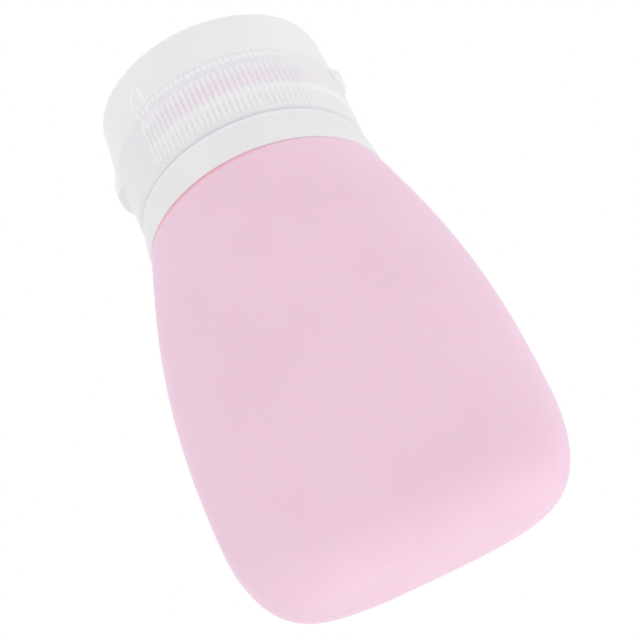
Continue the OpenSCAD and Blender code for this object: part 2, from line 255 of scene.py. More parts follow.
class Surface:
    """Points and faces of one piece, collected from grids, in millimetres."""

    def __init__(self) -> None:
        """Starts an empty surface."""
        self.points: list[Array] = []
        self.quads: list[Array] = []
        self.fans: list[Array] = []
        self.count = 0

    def grid(self, rows: Array, closed: bool = False, low_pole: Array | None = None,
             high_pole: Array | None = None) -> "Surface":
        """Adds a grid whose columns run round, with fans to its poles.

        Args:
            rows: Points (rows, columns, 3); its outside is on the right of a walk up a column.
            closed: Whether the last row joins the first.
            low_pole: Point that closes the first row.
            high_pole: Point that closes the last row.

        Returns:
            This surface.
        """
        total, width = rows.shape[:2]
        j = np.arange(total if closed else total - 1)[:, None]
        i = np.arange(width)[None, :]
        up, on = (j + 1) % total, (i + 1) % width
        here, right = j * width + i, j * width + on
        above, across = up * width + i, up * width + on
        quads = np.stack([here, right, across, above], axis=-1).reshape(-1, 4)
        self.quads.append(quads + self.count)
        self.points.append(rows.reshape(-1, 3))
        last = self.count + (total - 1) * width
        first, step = self.count, np.arange(width)
        self.count += total * width
        if low_pole is not None:
            self._fan(low_pole, first + (step + 1) % width, first + step)
        if high_pole is not None:
            self._fan(high_pole, last + step, last + (step + 1) % width)
        return self

    def _fan(self, pole: Array, first: Array, second: Array) -> None:
        """Joins a row's edges to one point with triangles.

        Args:
            pole: The point.
            first: First corner of each edge.
            second: Second corner of each edge.
        """
        self.points.append(np.asarray(pole, float).reshape(1, 3))
        self.fans.append(np.stack([np.full(len(first), self.count), first, second], axis=-1))
        self.count += 1

    def piece(self, name: str, body: str, slot: str) -> bpy.types.Object:
        """Makes the object, smooth but for sharp edges, and puts it on its body.

        Args:
            name: Name of the piece.
            body: CAD body that it rides on.
            slot: Material slot of the record; not used.

        Returns:
            The new object.
        """
        obj = self.loose(name)
        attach(obj, body)
        return obj

    def loose(self, name: str) -> bpy.types.Object:
        """Makes the object without a body.

        Args:
            name: Name of the piece.

        Returns:
            The new object.
        """
        points = np.vstack(self.points) * MM
        quads = np.vstack(self.quads)
        fans = np.vstack(self.fans) if self.fans else np.zeros((0, 3), int)
        corners = np.concatenate([quads.ravel(), fans.ravel()]).astype(np.int32)
        starts = np.concatenate([np.arange(len(quads)) * 4,
                                 len(quads) * 4 + np.arange(len(fans)) * 3]).astype(np.int32)
        mesh = bpy.data.meshes.new(name)
        mesh.vertices.add(len(points))
        mesh.vertices.foreach_set("co", points.astype(np.float32).ravel())
        mesh.loops.add(len(corners))
        mesh.loops.foreach_set("vertex_index", corners)
        mesh.polygons.add(len(starts))
        mesh.polygons.foreach_set("loop_start", starts)
        mesh.update(calc_edges=True)
        mesh.validate()
        mesh.shade_smooth()
        mesh.set_sharp_from_angle(angle=SHARP_ANGLE)
        obj = bpy.data.objects.new(name, mesh)
        bpy.context.scene.collection.objects.link(obj)
        return obj


def spots(piece: bpy.types.Object) -> Array:
    """Reads the points of a piece.

    Args:
        piece: The piece.

    Returns:
        Its points in millimetres (points, 3).
    """
    flat = np.empty(len(piece.data.vertices) * 3, np.float32)
    piece.data.vertices.foreach_get("co", flat)
    return flat.reshape(-1, 3).astype(float) / MM


def paint(piece: bpy.types.Object, name: str, values: Array) -> None:
    """Stores a value at each point of a piece for its material.

    Args:
        piece: The piece.
        name: Name of the values.
        values: One value for each point.
    """
    layer = piece.data.attributes.new(name, "FLOAT", "POINT")
    layer.data.foreach_set("value", values.astype(np.float32))


def along_path(across: Array, up: Array, path: tuple, width: float) -> Array:
    """1 on a line of several legs and falling off beside it as exp(-(d / width)^2).

    Args:
        across: First coordinate of each point.
        up: Second coordinate of each point.
        path: Corners of the line.
        width: Distance d at which the value has fallen to 1 / e.

    Returns:
        The value at each point.
    """
    nearest = np.full(np.broadcast_shapes(across.shape, up.shape), np.inf)
    for (x0, z0), (x1, z1) in zip(path[:-1], path[1:]):
        long, high = x1 - x0, z1 - z0
        share = ((across - x0) * long + (up - z0) * high) / (long**2 + high**2)
        share = np.clip(share, 0.0, 1.0)
        nearest = np.minimum(nearest, np.hypot(across - x0 - share * long,
                                               up - z0 - share * high))
    return np.exp(-((nearest / width) ** 2))


class Nodes:
    """Short way to put shader nodes together in one material."""

    def __init__(self, name: str) -> None:
        """Makes the material with its shader, read on Object coordinates.

        Args:
            name: Name of the material.
        """
        self.material = bpy.data.materials.new(name)
        self.material.use_nodes = True
        self.tree = self.material.node_tree
        self.shader = self.tree.nodes["Principled BSDF"]
        self.place = self.tree.nodes.new("ShaderNodeTexCoord").outputs["Object"]

    def noise(self, scale: float, detail: float = 2.0, stretch: Vector | None = None
              ) -> bpy.types.NodeSocket:
        """Adds a noise pattern.

        Args:
            scale: Waves per metre.
            detail: Number of finer layers.
            stretch: Scale along each axis, where the pattern is drawn out.

        Returns:
            Its value, about 0.5 on average.
        """
        node = self.tree.nodes.new("ShaderNodeTexNoise")
        node.inputs["Scale"].default_value = scale
        node.inputs["Detail"].default_value = detail
        source = self.place
        if stretch is not None:
            mapping = self.tree.nodes.new("ShaderNodeMapping")
            mapping.inputs["Scale"].default_value = stretch
            self.tree.links.new(source, mapping.inputs["Vector"])
            source = mapping.outputs["Vector"]
        self.tree.links.new(source, node.inputs["Vector"])
        return node.outputs["Fac"]

    def ranged(self, value: bpy.types.NodeSocket, low: float, high: float,
               start: float = 0.3, end: float = 0.7) -> bpy.types.NodeSocket:
        """Maps start to low and end to high, held at the ends.

        Args:
            value: Value to map.
            low: What start becomes.
            high: What end becomes.
            start: Lower end of the range; a noise's usual low value.
            end: Upper end of the range; a noise's usual high value.

        Returns:
            The mapped value.
        """
        node = self.tree.nodes.new("ShaderNodeMapRange")
        self.tree.links.new(value, node.inputs["Value"])
        node.inputs["From Min"].default_value = start
        node.inputs["From Max"].default_value = end
        node.inputs["To Min"].default_value = low
        node.inputs["To Max"].default_value = high
        return node.outputs["Result"]

    def mixed(self, share: bpy.types.NodeSocket, one: bpy.types.NodeSocket | tuple,
              other: bpy.types.NodeSocket | tuple) -> bpy.types.NodeSocket:
        """Mixes two colours.

        Args:
            share: 0 gives one and 1 gives other.
            one: Colour or colour socket.
            other: Colour or colour socket.

        Returns:
            The mixed colour.
        """
        node = self.tree.nodes.new("ShaderNodeMix")
        node.data_type = "RGBA"
        self.tree.links.new(share, node.inputs[0])
        for socket, colour in ((node.inputs[6], one), (node.inputs[7], other)):
            if isinstance(colour, tuple):
                socket.default_value = colour
            else:
                self.tree.links.new(colour, socket)
        return node.outputs[2]

    def axis(self, name: str) -> bpy.types.NodeSocket:
        """Reads one axis of the object's own coordinates.

        Args:
            name: X, Y or Z.

        Returns:
            The distance from the origin in metres.
        """
        node = self.tree.nodes.new("ShaderNodeSeparateXYZ")
        self.tree.links.new(self.place, node.inputs[0])
        return node.outputs[name]

    def painted(self, name: str) -> bpy.types.NodeSocket:
        """Reads what paint() stored on the mesh.

        Args:
            name: Name of the values.

        Returns:
            The value.
        """
        node = self.tree.nodes.new("ShaderNodeAttribute")
        node.attribute_name = name
        return node.outputs["Fac"]

    def times(self, one: bpy.types.NodeSocket, other: bpy.types.NodeSocket
              ) -> bpy.types.NodeSocket:
        """Multiplies two values.

        Args:
            one: First value.
            other: Second value.

        Returns:
            Their product.
        """
        node = self.tree.nodes.new("ShaderNodeMath")
        node.operation = "MULTIPLY"
        self.tree.links.new(one, node.inputs[0])
        self.tree.links.new(other, node.inputs[1])
        return node.outputs[0]

    def window(self, value: bpy.types.NodeSocket, low: float, high: float, blur: float
               ) -> bpy.types.NodeSocket:
        """Makes a window: 1 between low and high, falling to 0 over the blur beyond them."""
        rise = self.ranged(value, 0.0, 1.0, low - blur, low)
        return self.times(rise, self.ranged(value, 1.0, 0.0, high, high + blur))

    def bump(self, value: bpy.types.NodeSocket, strength: float, depth: float) -> None:
        """Roughens the normals with a pattern.

        Args:
            value: Height of the pattern.
            strength: Share of the effect.
            depth: Depth in metres.
        """
        node = self.tree.nodes.new("ShaderNodeBump")
        node.inputs["Strength"].default_value = strength
        node.inputs["Distance"].default_value = depth
        self.tree.links.new(value, node.inputs["Height"])
        self.link(node.outputs["Normal"], "Normal")

    def link(self, value: bpy.types.NodeSocket, name: str) -> None:
        """Joins a value to one of the shader's sockets."""
        self.tree.links.new(value, self.shader.inputs[name])

    def put(self, **values: float | tuple) -> None:
        """Sets values on the shader's own sockets, named with _ for spaces."""
        for name, value in values.items():
            self.shader.inputs[name.replace("_", " ")].default_value = value


def tone(red: float, green: float, blue: float, gain: float = 1.0) -> tuple:
    """Screen colour as shader colour: c = ((s + 0.055) / 1.055)^2.4.

    Args:
        red: Red from 0 to 255.
        green: Green from 0 to 255.
        blue: Blue from 0 to 255.
        gain: Factor on the shader colour.

    Returns:
        Red, green, blue and alpha for a shader.
    """
    screen = np.array([red, green, blue]) / 255.0
    linear = ((screen + 0.055) / 1.055) ** 2.4 * gain
    return (*(float(value) for value in linear), 1.0)


@dataclass(frozen=True)
class SiliconeFinish:
    """Satin silicone with soft cloudy colour, fine moulded grain and a lilac sheen."""

    name: str = "satin_silicone"
    light: tuple = tone(237, 204, 221)
    deep: tuple = tone(233, 199, 217)
    fleck: tuple = tone(226, 188, 209)
    roughness: tuple = (0.5, 0.6)
    sheen: float = 0.12
    sheen_tint: tuple = tone(222, 214, 255)
    subsurface: float = 0.25
    # Dark red painted shadow in the crease between the silicone and the collar.
    rim_crease_shadow: tuple = tone(186, 112, 132)
    # Pink painted glow of bounced light just under the collar.
    rim_glow: tuple = tone(244, 184, 203)
    # Deeper pink painted on the sealing lip for the light that the frosted cap scatters over it;
    # the silicone is the same there.
    lip: tuple = tone(234, 172, 214)
    lipped: bool = True
    clouds_per_metre: float = 55.0
    flecks_per_metre: float = 420.0
    fleck_share: float = 0.35
    fleck_start: float = 0.72
    fleck_full: float = 0.84
    dull_spots_per_metre: float = 900.0
    grain_per_metre: float = 7000.0
    grain: float = 0.12
    grain_depth: float = 0.00004
    glow_height: float = 0.0003
    glow_blur: float = 0.0004
    line_height: float = 0.00006
    line_blur: float = 0.00007
    lip_blend: float = 0.0005

    def make(self) -> bpy.types.Material:
        """Builds the material: clouds, flecks, grain and, on the body, painted shade and glow.

        Returns:
            The material.
        """
        nodes = Nodes(self.name)
        cloud = nodes.ranged(nodes.noise(self.clouds_per_metre, 3.0), 0.0, 1.0)
        base = nodes.mixed(cloud, self.light, self.deep)
        speck = nodes.ranged(nodes.noise(self.flecks_per_metre), 0.0, self.fleck_share,
                             self.fleck_start, self.fleck_full)
        base = nodes.mixed(speck, base, self.fleck)
        nodes.link(self.rimmed(nodes, base) if self.lipped else base, "Base Color")
        dull = nodes.noise(self.dull_spots_per_metre, 3.0)
        nodes.link(nodes.ranged(dull, *self.roughness), "Roughness")
        nodes.bump(nodes.noise(self.grain_per_metre), self.grain, self.grain_depth)
        nodes.put(IOR=1.42, Sheen_Weight=self.sheen, Sheen_Roughness=0.4,
                  Sheen_Tint=self.sheen_tint, Subsurface_Weight=self.subsurface,
                  Subsurface_Radius=(1.0, 0.55, 0.65), Subsurface_Scale=0.0012,
                  Specular_IOR_Level=0.4)
        return nodes.material

    def rimmed(self, nodes: Nodes, base: bpy.types.NodeSocket) -> bpy.types.NodeSocket:
        """Paints shade and light where the silicone meets the collar, and deepens the lip's pink.

        The dark red line is a painted shadow in the crease under the collar, the glow below it
        is painted light bounced in the pink silicone, and the lip's deeper pink is painted for
        the light that the frosted cap scatters over it.

        Args:
            nodes: Material that is being made.
            base: Colour of the wall.

        Returns:
            The colour with the painted crease shadow, the painted glow below it and the deeper
            lip.
        """
        height, across = nodes.axis("Z"), nodes.axis("X")
        # The painted crease shadow is darkest on the left, away from the key lamp; the painted
        # glow lies just left of the middle.
        left = nodes.ranged(across, 1.0, 0.3, -0.004, 0.016)
        middle = nodes.window(across, -0.014, 0.0, 0.008)
        top, lip_low = LEVELS.shoulder * MM, LEVELS.neck_top * MM
        below = nodes.window(height, top - self.glow_height, top, self.glow_blur)
        edge = nodes.window(height, top - self.line_height, top, self.line_blur)
        glow, line = nodes.times(below, middle), nodes.times(edge, left)
        # The lip's deeper pink above the neck is painted light from the cap's scattering.
        lip = nodes.ranged(height, 0.0, 1.0, lip_low - self.lip_blend, lip_low)
        # Painted light, then painted shade: the glow under the collar and the crease shadow on the
        # top edge.
        colour = nodes.mixed(glow, base, self.rim_glow)
        colour = nodes.mixed(line, colour, self.rim_crease_shadow)
        return nodes.mixed(lip, colour, self.lip)


@dataclass(frozen=True)
class FrostedFinish:
    """Frosted see-through plastic with faint flow clouds and a spark-eroded grain."""

    name: str
    light: tuple = tone(247, 247, 247)
    deep: tuple = tone(244, 244, 244)
    roughness: tuple = (0.5, 0.6)
    clear: float = 0.12
    ior: float = 1.35
    shine: float = 0.15
    grain: float = 0.1
    grain_depth: float = 0.00003
    grain_per_metre: float = 6000.0
    dull_spots_per_metre: float = 1500.0
    flow_per_metre: float = 120.0
    flow_stretch: tuple = (1.0, 1.0, 0.35)
    tints: tuple = ()

    def make(self) -> bpy.types.Material:
        """Builds the material, tinted where the mesh is painted.

        Returns:
            The material.
        """
        nodes = Nodes(self.name)
        flow = nodes.noise(self.flow_per_metre, 3.0, Vector(self.flow_stretch))
        colour = nodes.mixed(nodes.ranged(flow, 0.0, 1.0), self.light, self.deep)
        for name, tint in self.tints:
            colour = nodes.mixed(nodes.painted(name), colour, tint)
        nodes.link(colour, "Base Color")
        dull = nodes.noise(self.dull_spots_per_metre)
        nodes.link(nodes.ranged(dull, *self.roughness), "Roughness")
        nodes.bump(nodes.noise(self.grain_per_metre), self.grain, self.grain_depth)
        nodes.put(IOR=self.ior, Transmission_Weight=self.clear,
                  Specular_IOR_Level=self.shine)
        return nodes.material


@dataclass
class SoftBody:
    """Silicone body, one moulding with its neck and the lip that seals under the cap."""

    height: float = LEVELS.shoulder
    width: float = 57.5
    depth: float = 24.0
    widest: float = 20.0
    side_power: float = 2.2
    corner_power: float = 2.6
    section_power: float = 2.8
    base_round: float = 9.0
    base_power: float = 1.9
    foot_length: float = 28.0
    foot_width: float = 8.0
    wall: float = 2.0
    collar_radius: float = 20.8
    mouth_radius: float = 12.9
    neck_radius: float = 14.9
    lip_radius: float = 16.8
    edge: float = 0.2
    seam_height: float = 0.07
    seam_width: float = 0.2
    seam_fade: float = 6.0
    seam_degrees: tuple = (0.12, 0.25, 0.4, 0.6, 0.85, 1.2)
    round_share: float = 0.6
    mouth_chamfer: tuple = (0.3, 0.4)
    lip_gap: float = 0.1
    shoulder_land: float = 4.0
    ceiling_land: float = 3.0
    floor_blend: float = 10.0
    columns: int = 192
    low_rows: int = 46
    high_rows: int = 48
    foot_rows: int = 6
    edge_rows: int = 9
    cavity_low_rows: int = 26
    cavity_high_rows: int = 20
    floor_rows: int = 4

    def rise(self, t: Array, power: float) -> Array:
        """Quarter of a superellipse: (1 - (1 - t)^p)^(1/p), from 0 to 1."""
        return (1.0 - (1.0 - np.clip(t, 0.0, 1.0)) ** power) ** (1.0 / power)

    def half_width(self, z: Array) -> Array:
        """Half the width: rounded corners below, drawn in to the collar above.

        Below the widest height it is f + (w - f) q(z), with the foot's half length f, half
        the width w and the quarter q of a superellipse. Above it is c + (w - c)(1 - t^n).

        Args:
            z: Heights.

        Returns:
            The half width at each height.
        """
        low = self.foot_length / 2 + (self.width - self.foot_length) / 2 * self.rise(
            z / self.widest, self.corner_power)
        share = np.clip((z - self.widest) / (self.height - self.widest), 0.0, 1.0)
        spread = self.width / 2 - self.collar_radius
        high = self.collar_radius + spread * (1.0 - share**self.side_power)
        return np.where(z < self.widest, low, high)

    def half_depth(self, z: Array) -> Array:
        """Half the depth: a straight front, f + (d - f) q(z) where it is rounded at the foot.

        Args:
            z: Heights.

        Returns:
            The half depth at each height.
        """
        rest = np.clip((z - self.base_round) / (self.height - self.base_round), 0.0, 1.0)
        front = self.depth / 2 + (self.collar_radius - self.depth / 2) * rest
        edge = self.rise(z / self.base_round, self.base_power)
        return self.foot_width / 2 + (front - self.foot_width / 2) * edge

    def section(self, z: Array) -> Array:
        """Power of the section: 2 is round at the collar, higher is flatter below."""
        flat = smooth_step(z, self.height, self.height * (1.0 - self.round_share))
        return ROUND_POWER + (self.section_power - ROUND_POWER) * flat

    def outer_rings(self) -> Array:
        """Rings of the outside, from the foot's middle up to the rounded shoulder.

        Rows lie closer together near the foot, where the outline turns fastest.

        Returns:
            Half width, half depth, power and height of each ring (rows, 4).
        """
        turn = np.linspace(0.0, math.pi / 2, self.low_rows)[1:] ** 1.25
        low = self.widest * (1.0 - np.cos(turn / turn[-1] * math.pi / 2))
        high = np.linspace(self.widest, self.height - self.edge, self.high_rows)[1:]
        z = np.concatenate([[0.0], low, high])
        side = np.stack([self.half_width(z), self.half_depth(z), self.section(z), z], axis=1)
        foot = np.linspace(0.15, 0.9, self.foot_rows)[:, None] * side[:1, :2]
        flat = np.column_stack([foot, np.full((self.foot_rows, 1), self.section_power),
                                np.zeros((self.foot_rows, 1))])
        bend = np.linspace(0.0, math.pi / 2, self.edge_rows)[1:]
        top = self.height - self.edge + self.edge * np.sin(bend)
        inset = self.edge * (1.0 - np.cos(bend))
        edge = np.stack([self.half_width(top) - inset, self.half_depth(top) - inset,
                         self.section(top), top], axis=1)
        return np.vstack([flat, side, edge])

    def neck_rings(self) -> Array:
        """Rings from the shoulder up the neck, round the lip and down the mouth.

        Returns:
            Half width, half depth, power and height of each ring (rows, 4).
        """
        low, ceiling = LEVELS.neck_top + self.lip_gap, self.height - self.wall
        wide, high = self.mouth_chamfer
        corners = np.array([
            [self.neck_radius + self.shoulder_land, self.height],
            [self.neck_radius, self.height], [self.neck_radius, low],
            [self.lip_radius, low], [self.lip_radius, LEVELS.lip_top],
            [self.mouth_radius, LEVELS.lip_top], [self.mouth_radius, ceiling + high],
            [self.mouth_radius + wide, ceiling],
            [self.mouth_radius + self.ceiling_land, ceiling]])
        reach = np.array([0.1, 0.1, 0.15, 0.2, 0.5, 0.5, 0.3, 0.2, 0.1])
        line = refine(soften_open(corners, reach), False, 2.0, 2.0, 0.0, 0.0, 0.0)
        round_power = np.full(len(line), ROUND_POWER)
        return np.stack([line[:, 0], line[:, 0], round_power, line[:, 1]], axis=1)

    def cavity_rings(self) -> Array:
        """Rings of the cavity, from its ceiling down to its floor.

        Returns:
            Half width, half depth, power and height of each ring (rows, 4).
        """
        turn = np.linspace(0.0, math.pi / 2, self.cavity_low_rows)
        low = self.wall + (self.widest - self.wall) * (1.0 - np.cos(turn))
        high = np.linspace(self.widest, self.height - self.wall, self.cavity_high_rows)[1:]
        z = np.concatenate([low, high])[::-1]
        blend = np.clip((z - self.widest) / self.floor_blend, 0.0, 1.0)
        q = z - self.wall * (1.0 - blend)
        rings = np.stack([self.half_width(q) - self.wall, self.half_depth(q) - self.wall,
                          self.section(q), z], axis=1)
        floor = np.column_stack([
            np.linspace(0.8, 0.2, self.floor_rows)[:, None] * rings[-1:, :2],
            np.full((self.floor_rows, 1), self.section_power),
            np.full((self.floor_rows, 1), self.wall)])
        return np.vstack([rings, floor])

    def angles(self) -> Array:
        """Column angles, with extra ones close to the mould seam at both sides.

        Returns:
            The angles in rising order.
        """
        even = np.arange(self.columns) * 2 * math.pi / self.columns
        near = np.radians(self.seam_degrees)
        extra = np.concatenate([near, -near, math.pi + near, math.pi - near]) % (2 * math.pi)
        return np.sort(np.concatenate([even, extra]))

    def around(self, rings: Array) -> Array:
        """Draws each ring: (w k cos a, d k sin a, z), k = (|cos a|^p + |sin a|^p)^(-1/p).

        Args:
            rings: Half width w, half depth d, power p and height z of each ring (rows, 4).

        Returns:
            Points (rows, columns, 3).
        """
        a = self.angles()[None, :]
        w, d, p, z = (rings[:, n : n + 1] for n in range(4))
        k = (np.abs(np.cos(a)) ** p + np.abs(np.sin(a)) ** p) ** (-1.0 / p)
        return np.stack([w * k * np.cos(a), d * k * np.sin(a), z + 0.0 * a], axis=-1)

    def seamed(self, points: Array) -> Array:
        """Sets the outside in by h (1 - exp(-(y/s)^2)), so that the mould seam stands proud.

        Args:
            points: Points of the outside (rows, columns, 3).

        Returns:
            The moved points. The foot moves up only, and the shoulder stays.
        """
        depth = self.seam_height * (1.0 - np.exp(-((points[..., 1] / self.seam_width) ** 2)))
        fade = smooth_step(points[..., 2], self.height - self.edge,
                           self.height - self.seam_fade)
        normal = grid_normals(points)
        normal[points[..., 2] < 1e-6] = (0.0, 0.0, -1.0)
        return points - normal * (depth * fade)[..., None]

    def build(self) -> bpy.types.Object:
        """Builds the shell as one closed surface.

        Returns:
            The piece.
        """
        outside = self.seamed(self.around(self.outer_rings()))
        inside = self.around(np.vstack([self.neck_rings(), self.cavity_rings()]))
        shell = Surface().grid(np.vstack([outside, inside]),
                               low_pole=np.array([0.0, 0.0, self.seam_height / 2]),
                               high_pole=np.array([0.0, 0.0, self.wall]))
        piece = shell.piece("silicone_shell", "bottle", "silicone_pink")
        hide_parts("bottle_body")
        return piece

    def dress(self, piece: bpy.types.Object) -> None:
        """Gives the body its satin silicone."""
        piece.data.materials.append(SiliconeFinish().make())


@dataclass(frozen=True)
class Thread:
    """Ridge of a screw thread on a wall, as a field over angle and height."""

    pitch: float = 3.2
    depth: float = 1.1
    root_width: float = 1.5
    crest_width: float = 0.8
    start: float = 79.75
    first: float = 0.0
    last: float = math.radians(360)
    fade: float = math.radians(25)

    def ridge(self, angles: Array, heights: Array) -> Array:
        """Height of the ridge over its root at each angle and height.

        The line of turn n lies at start + pitch (a + 2 pi n) / 2 pi. The ridge is a
        trapezoid across that line and grows over the fade angle at both ends.

        Args:
            angles: Column angles from 0 to a full turn.
            heights: Heights, of a shape that meets the angles' shape.

        Returns:
            The ridge's height in millimetres.
        """
        total = np.zeros(np.broadcast_shapes(angles.shape, heights.shape))
        slope = (self.root_width - self.crest_width) / 2
        for lap in range(-1, 3):
            run = angles + 2 * math.pi * lap
            inside = np.minimum(run - self.first, self.last - run) / self.fade
            away = np.abs(heights - self.start - self.pitch * run / (2 * math.pi))
            shape = np.clip((self.root_width / 2 - away) / slope, 0.0, 1.0)
            total = np.maximum(total, self.depth * shape * smooth_step(inside, 0.0, 1.0))
        return total


@dataclass
class NeckCollar:
    """Frosted collar with its bulging band and the threaded neck, one moulding."""

    base_radius: float = 20.8
    top_radius: float = 20.0
    neck_radius: float = 16.9
    bore_radius: float = 15.0
    wall: float = 1.5
    foot_bevel: float = 0.25
    foot_gap: float = 0.03
    top_inset: tuple = (0.25, 0.33)
    top_drop: float = 0.08
    groove_inset: float = 0.1
    groove_slope: float = 0.5
    columns: int = 360
    band_rows: int = 15
    # Where the collar's lower edge gets its painted pink glow of light reflected from the
    # silicone.
    glow_up: Ease = Ease(LEVELS.shoulder + 0.42, LEVELS.shoulder + 0.12)
    glow_left: Ease = Ease(12.0, -4.0)
    glow_least: float = 0.3
    # Where the collar's top edge gets its painted lilac shade of the gap under the cap.
    collar_gap_shade: Ease = Ease(LEVELS.collar_edge - 0.3, LEVELS.collar_edge - 0.05)
    line_height: float = LEVELS.collar_edge - 0.75
    line_width: float = 0.22

    def band(self) -> Array:
        """Outside of the band: r = a + (b - a) sin(90 deg t), with t from the top down.

        Returns:
            Radius and height from its foot up (rows, 2).
        """
        t = np.linspace(1.0, 0.0, self.band_rows)
        inner = self.top_radius - self.top_inset[0]
        radius = inner + (self.base_radius - inner) * np.sin(t * math.pi / 2)
        top = LEVELS.collar_edge - self.top_drop
        height = top - (top - LEVELS.shoulder - self.foot_bevel) * t
        return np.stack([radius, height], axis=1)

    def profile(self) -> Array:
        """Closed profile of the collar, anticlockwise.

        Returns:
            Radius and height (rows, 2).
        """
        low, top = LEVELS.shoulder + self.foot_gap, LEVELS.collar_edge
        band, groove = self.band(), self.neck_radius - self.groove_inset
        start = np.array([[self.base_radius - self.wall, low],
                          [self.base_radius - self.foot_bevel, low]])
        rest = np.array([
            [self.top_radius - self.top_inset[1], top], [self.neck_radius, top],
            [self.neck_radius, LEVELS.neck_top], [self.bore_radius, LEVELS.neck_top],
            [self.bore_radius, low], [groove, low], [groove, top - self.wall],
            [self.top_radius - self.wall - self.groove_slope, top - self.wall]])
        corners = np.vstack([start, band, rest])
        reach = np.full(len(corners), 0.12)
        reach[2 : 2 + len(band)] = 0.2
        reach[1 + len(band) : 3 + len(band)] = 0.07
        reach[len(start) + len(band) + 2] = 0.35
        line = soften(corners, reach, 4)
        return refine(line, True, 1.5, 0.16, top + 0.2, LEVELS.neck_top - 0.1,
                      self.neck_radius - 0.2)

    def build(self) -> bpy.types.Object:
        """Builds the collar with its thread.

        Returns:
            The piece.
        """
        angles = np.arange(self.columns) * 2 * math.pi / self.columns
        line = self.profile()
        field = np.repeat(line[:, None], self.columns, axis=1)
        on_neck = (line[:, 0] > self.neck_radius - 0.05) & (line[:, 1] > LEVELS.collar_edge)
        ridge = Thread().ridge(angles[None, :], line[:, 1:2])
        field[..., 0] += np.where(on_neck[:, None], ridge, 0.0)
        piece = Surface().grid(turned(field, angles), closed=True).piece(
            "collar_with_thread", "bottle", "frosted_collar")
        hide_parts("neck_collar")
        return piece

    def dress(self, piece: bpy.types.Object) -> None:
        """Gives the collar its frosted plastic, with pink and lilac light and shade painted on.

        The lower edge is painted with a pink glow of light reflected from the silicone, most
        on the hinge side, and the edge under the cap is painted faintly lilac as the shade of
        the gap there, with a lighter line painted below it.

        Args:
            piece: The collar.
        """
        points = spots(piece)
        height = points[:, 2]
        outer = np.hypot(points[:, 0], points[:, 1]) > self.top_radius - 0.7
        left = self.glow_least + (1.0 - self.glow_least) * self.glow_left.share(points[:, 0])
        line = np.exp(-(((height - self.line_height) / self.line_width) ** 2))
        # Pink painted glow of light reflected from the silicone onto the collar's lower edge.
        paint(piece, "reflected_pink_glow", self.glow_up.share(height) * left * outer)
        # Lilac painted shade of the gap under the cap, on the collar's top edge.
        paint(piece, "cap_edge", self.collar_gap_shade.share(height) * outer)
        paint(piece, "bright_line", line * outer)
        # Tints: painted pink glow, painted lilac gap shade and a lighter line.
        finish = FrostedFinish("milky_collar", tone(244, 244, 245), tone(241, 241, 243),
                               tints=(("reflected_pink_glow", tone(253, 214, 220)),
                                      ("cap_edge", tone(243, 239, 245)),
                                      ("bright_line", tone(248, 248, 249))))
        piece.data.materials.append(finish.make())


@dataclass(frozen=True)
class Notch:
    """Shallow recess at the end of the hinge side, cut into cap and lid alike.

    Its corners and edges are measured from origin_x and from the rim. A raised leg stands
    at each side of it.
    """

    origin_x: float = -10.8
    depth: float = 0.26
    blur: float = 0.16
    half: float = 1.5
    tall: float = 4.4
    top_fade: Ease = Ease(4.2, 1.0)
    left_leg: tuple = ((-0.65, 4.3), (-1.24, 2.87), (-1.49, 1.15), (-1.47, -0.1),
                       (-1.18, -1.93), (-0.36, -4.2))
    right_leg: tuple = ((0.4, 3.7), (0.52, 2.7), (0.66, 1.0), (0.86, -0.5))
    leg_width: float = 0.2
    leg_height: float = 0.08

    def field(self, points_x: Array, heights: Array, side: Side) -> Array:
        """Depth of the recess where the wall has the given x and height.

        It is a product of soft steps across the lines that bound it, a parabola on the left
        and a slanting line on the right, less the height of the two legs.

        Args:
            points_x: Distance along x of the wall.
            heights: Height of the wall.
            side: DOWN for the cap's part, UP for the lid's part.

        Returns:
            The depth in millimetres.
        """
        x, z = points_x - self.origin_x, heights - LEVELS.rim
        if side is Side.DOWN:
            edges = (x + self.half - 0.065 * z**2, 0.95 + 0.28 * z - x, z + self.tall)
        else:
            edges = (x + self.half - 0.04 * z**2, 0.8 - 0.1 * z - x, self.tall - z)
        inside = self.top_fade.share(z) + 0.0 * x
        for edge in edges:
            inside = inside * smooth_step(edge, -self.blur, self.blur)
        return self.depth * inside - self.leg_height * self.legs(points_x, heights)

    def legs(self, points_x: Array, heights: Array) -> Array:
        """1 on the two legs and 0 away from them.

        Args:
            points_x: Distance along x of the wall.
            heights: Height of the wall.

        Returns:
            The value at each point.
        """
        x, z = points_x - self.origin_x, heights - LEVELS.rim
        left = along_path(x, z, self.left_leg, self.leg_width)
        right = along_path(x, z, self.right_leg, self.leg_width)
        return np.maximum(left, right)


def sunk_in(field: Array, depth: Array, inner: float, outer: float) -> Array:
    """Moves a wall inwards, its outer face by the whole depth and its inner face not at all.

    The share is (r - inner) / (outer - inner), held between 0 and 1, so that the edges
    between the two faces follow without a fold.

    Args:
        field: Radius and height of each point (rows, columns, 2).
        depth: Depth at each point (rows, columns).
        inner: Radius of the inner face.
        outer: Radius of the outer face.

    Returns:
        The new radii (rows, columns).
    """
    share = np.clip((field[..., 0] - inner) / (outer - inner), 0.0, 1.0)
    return field[..., 0] - depth * share


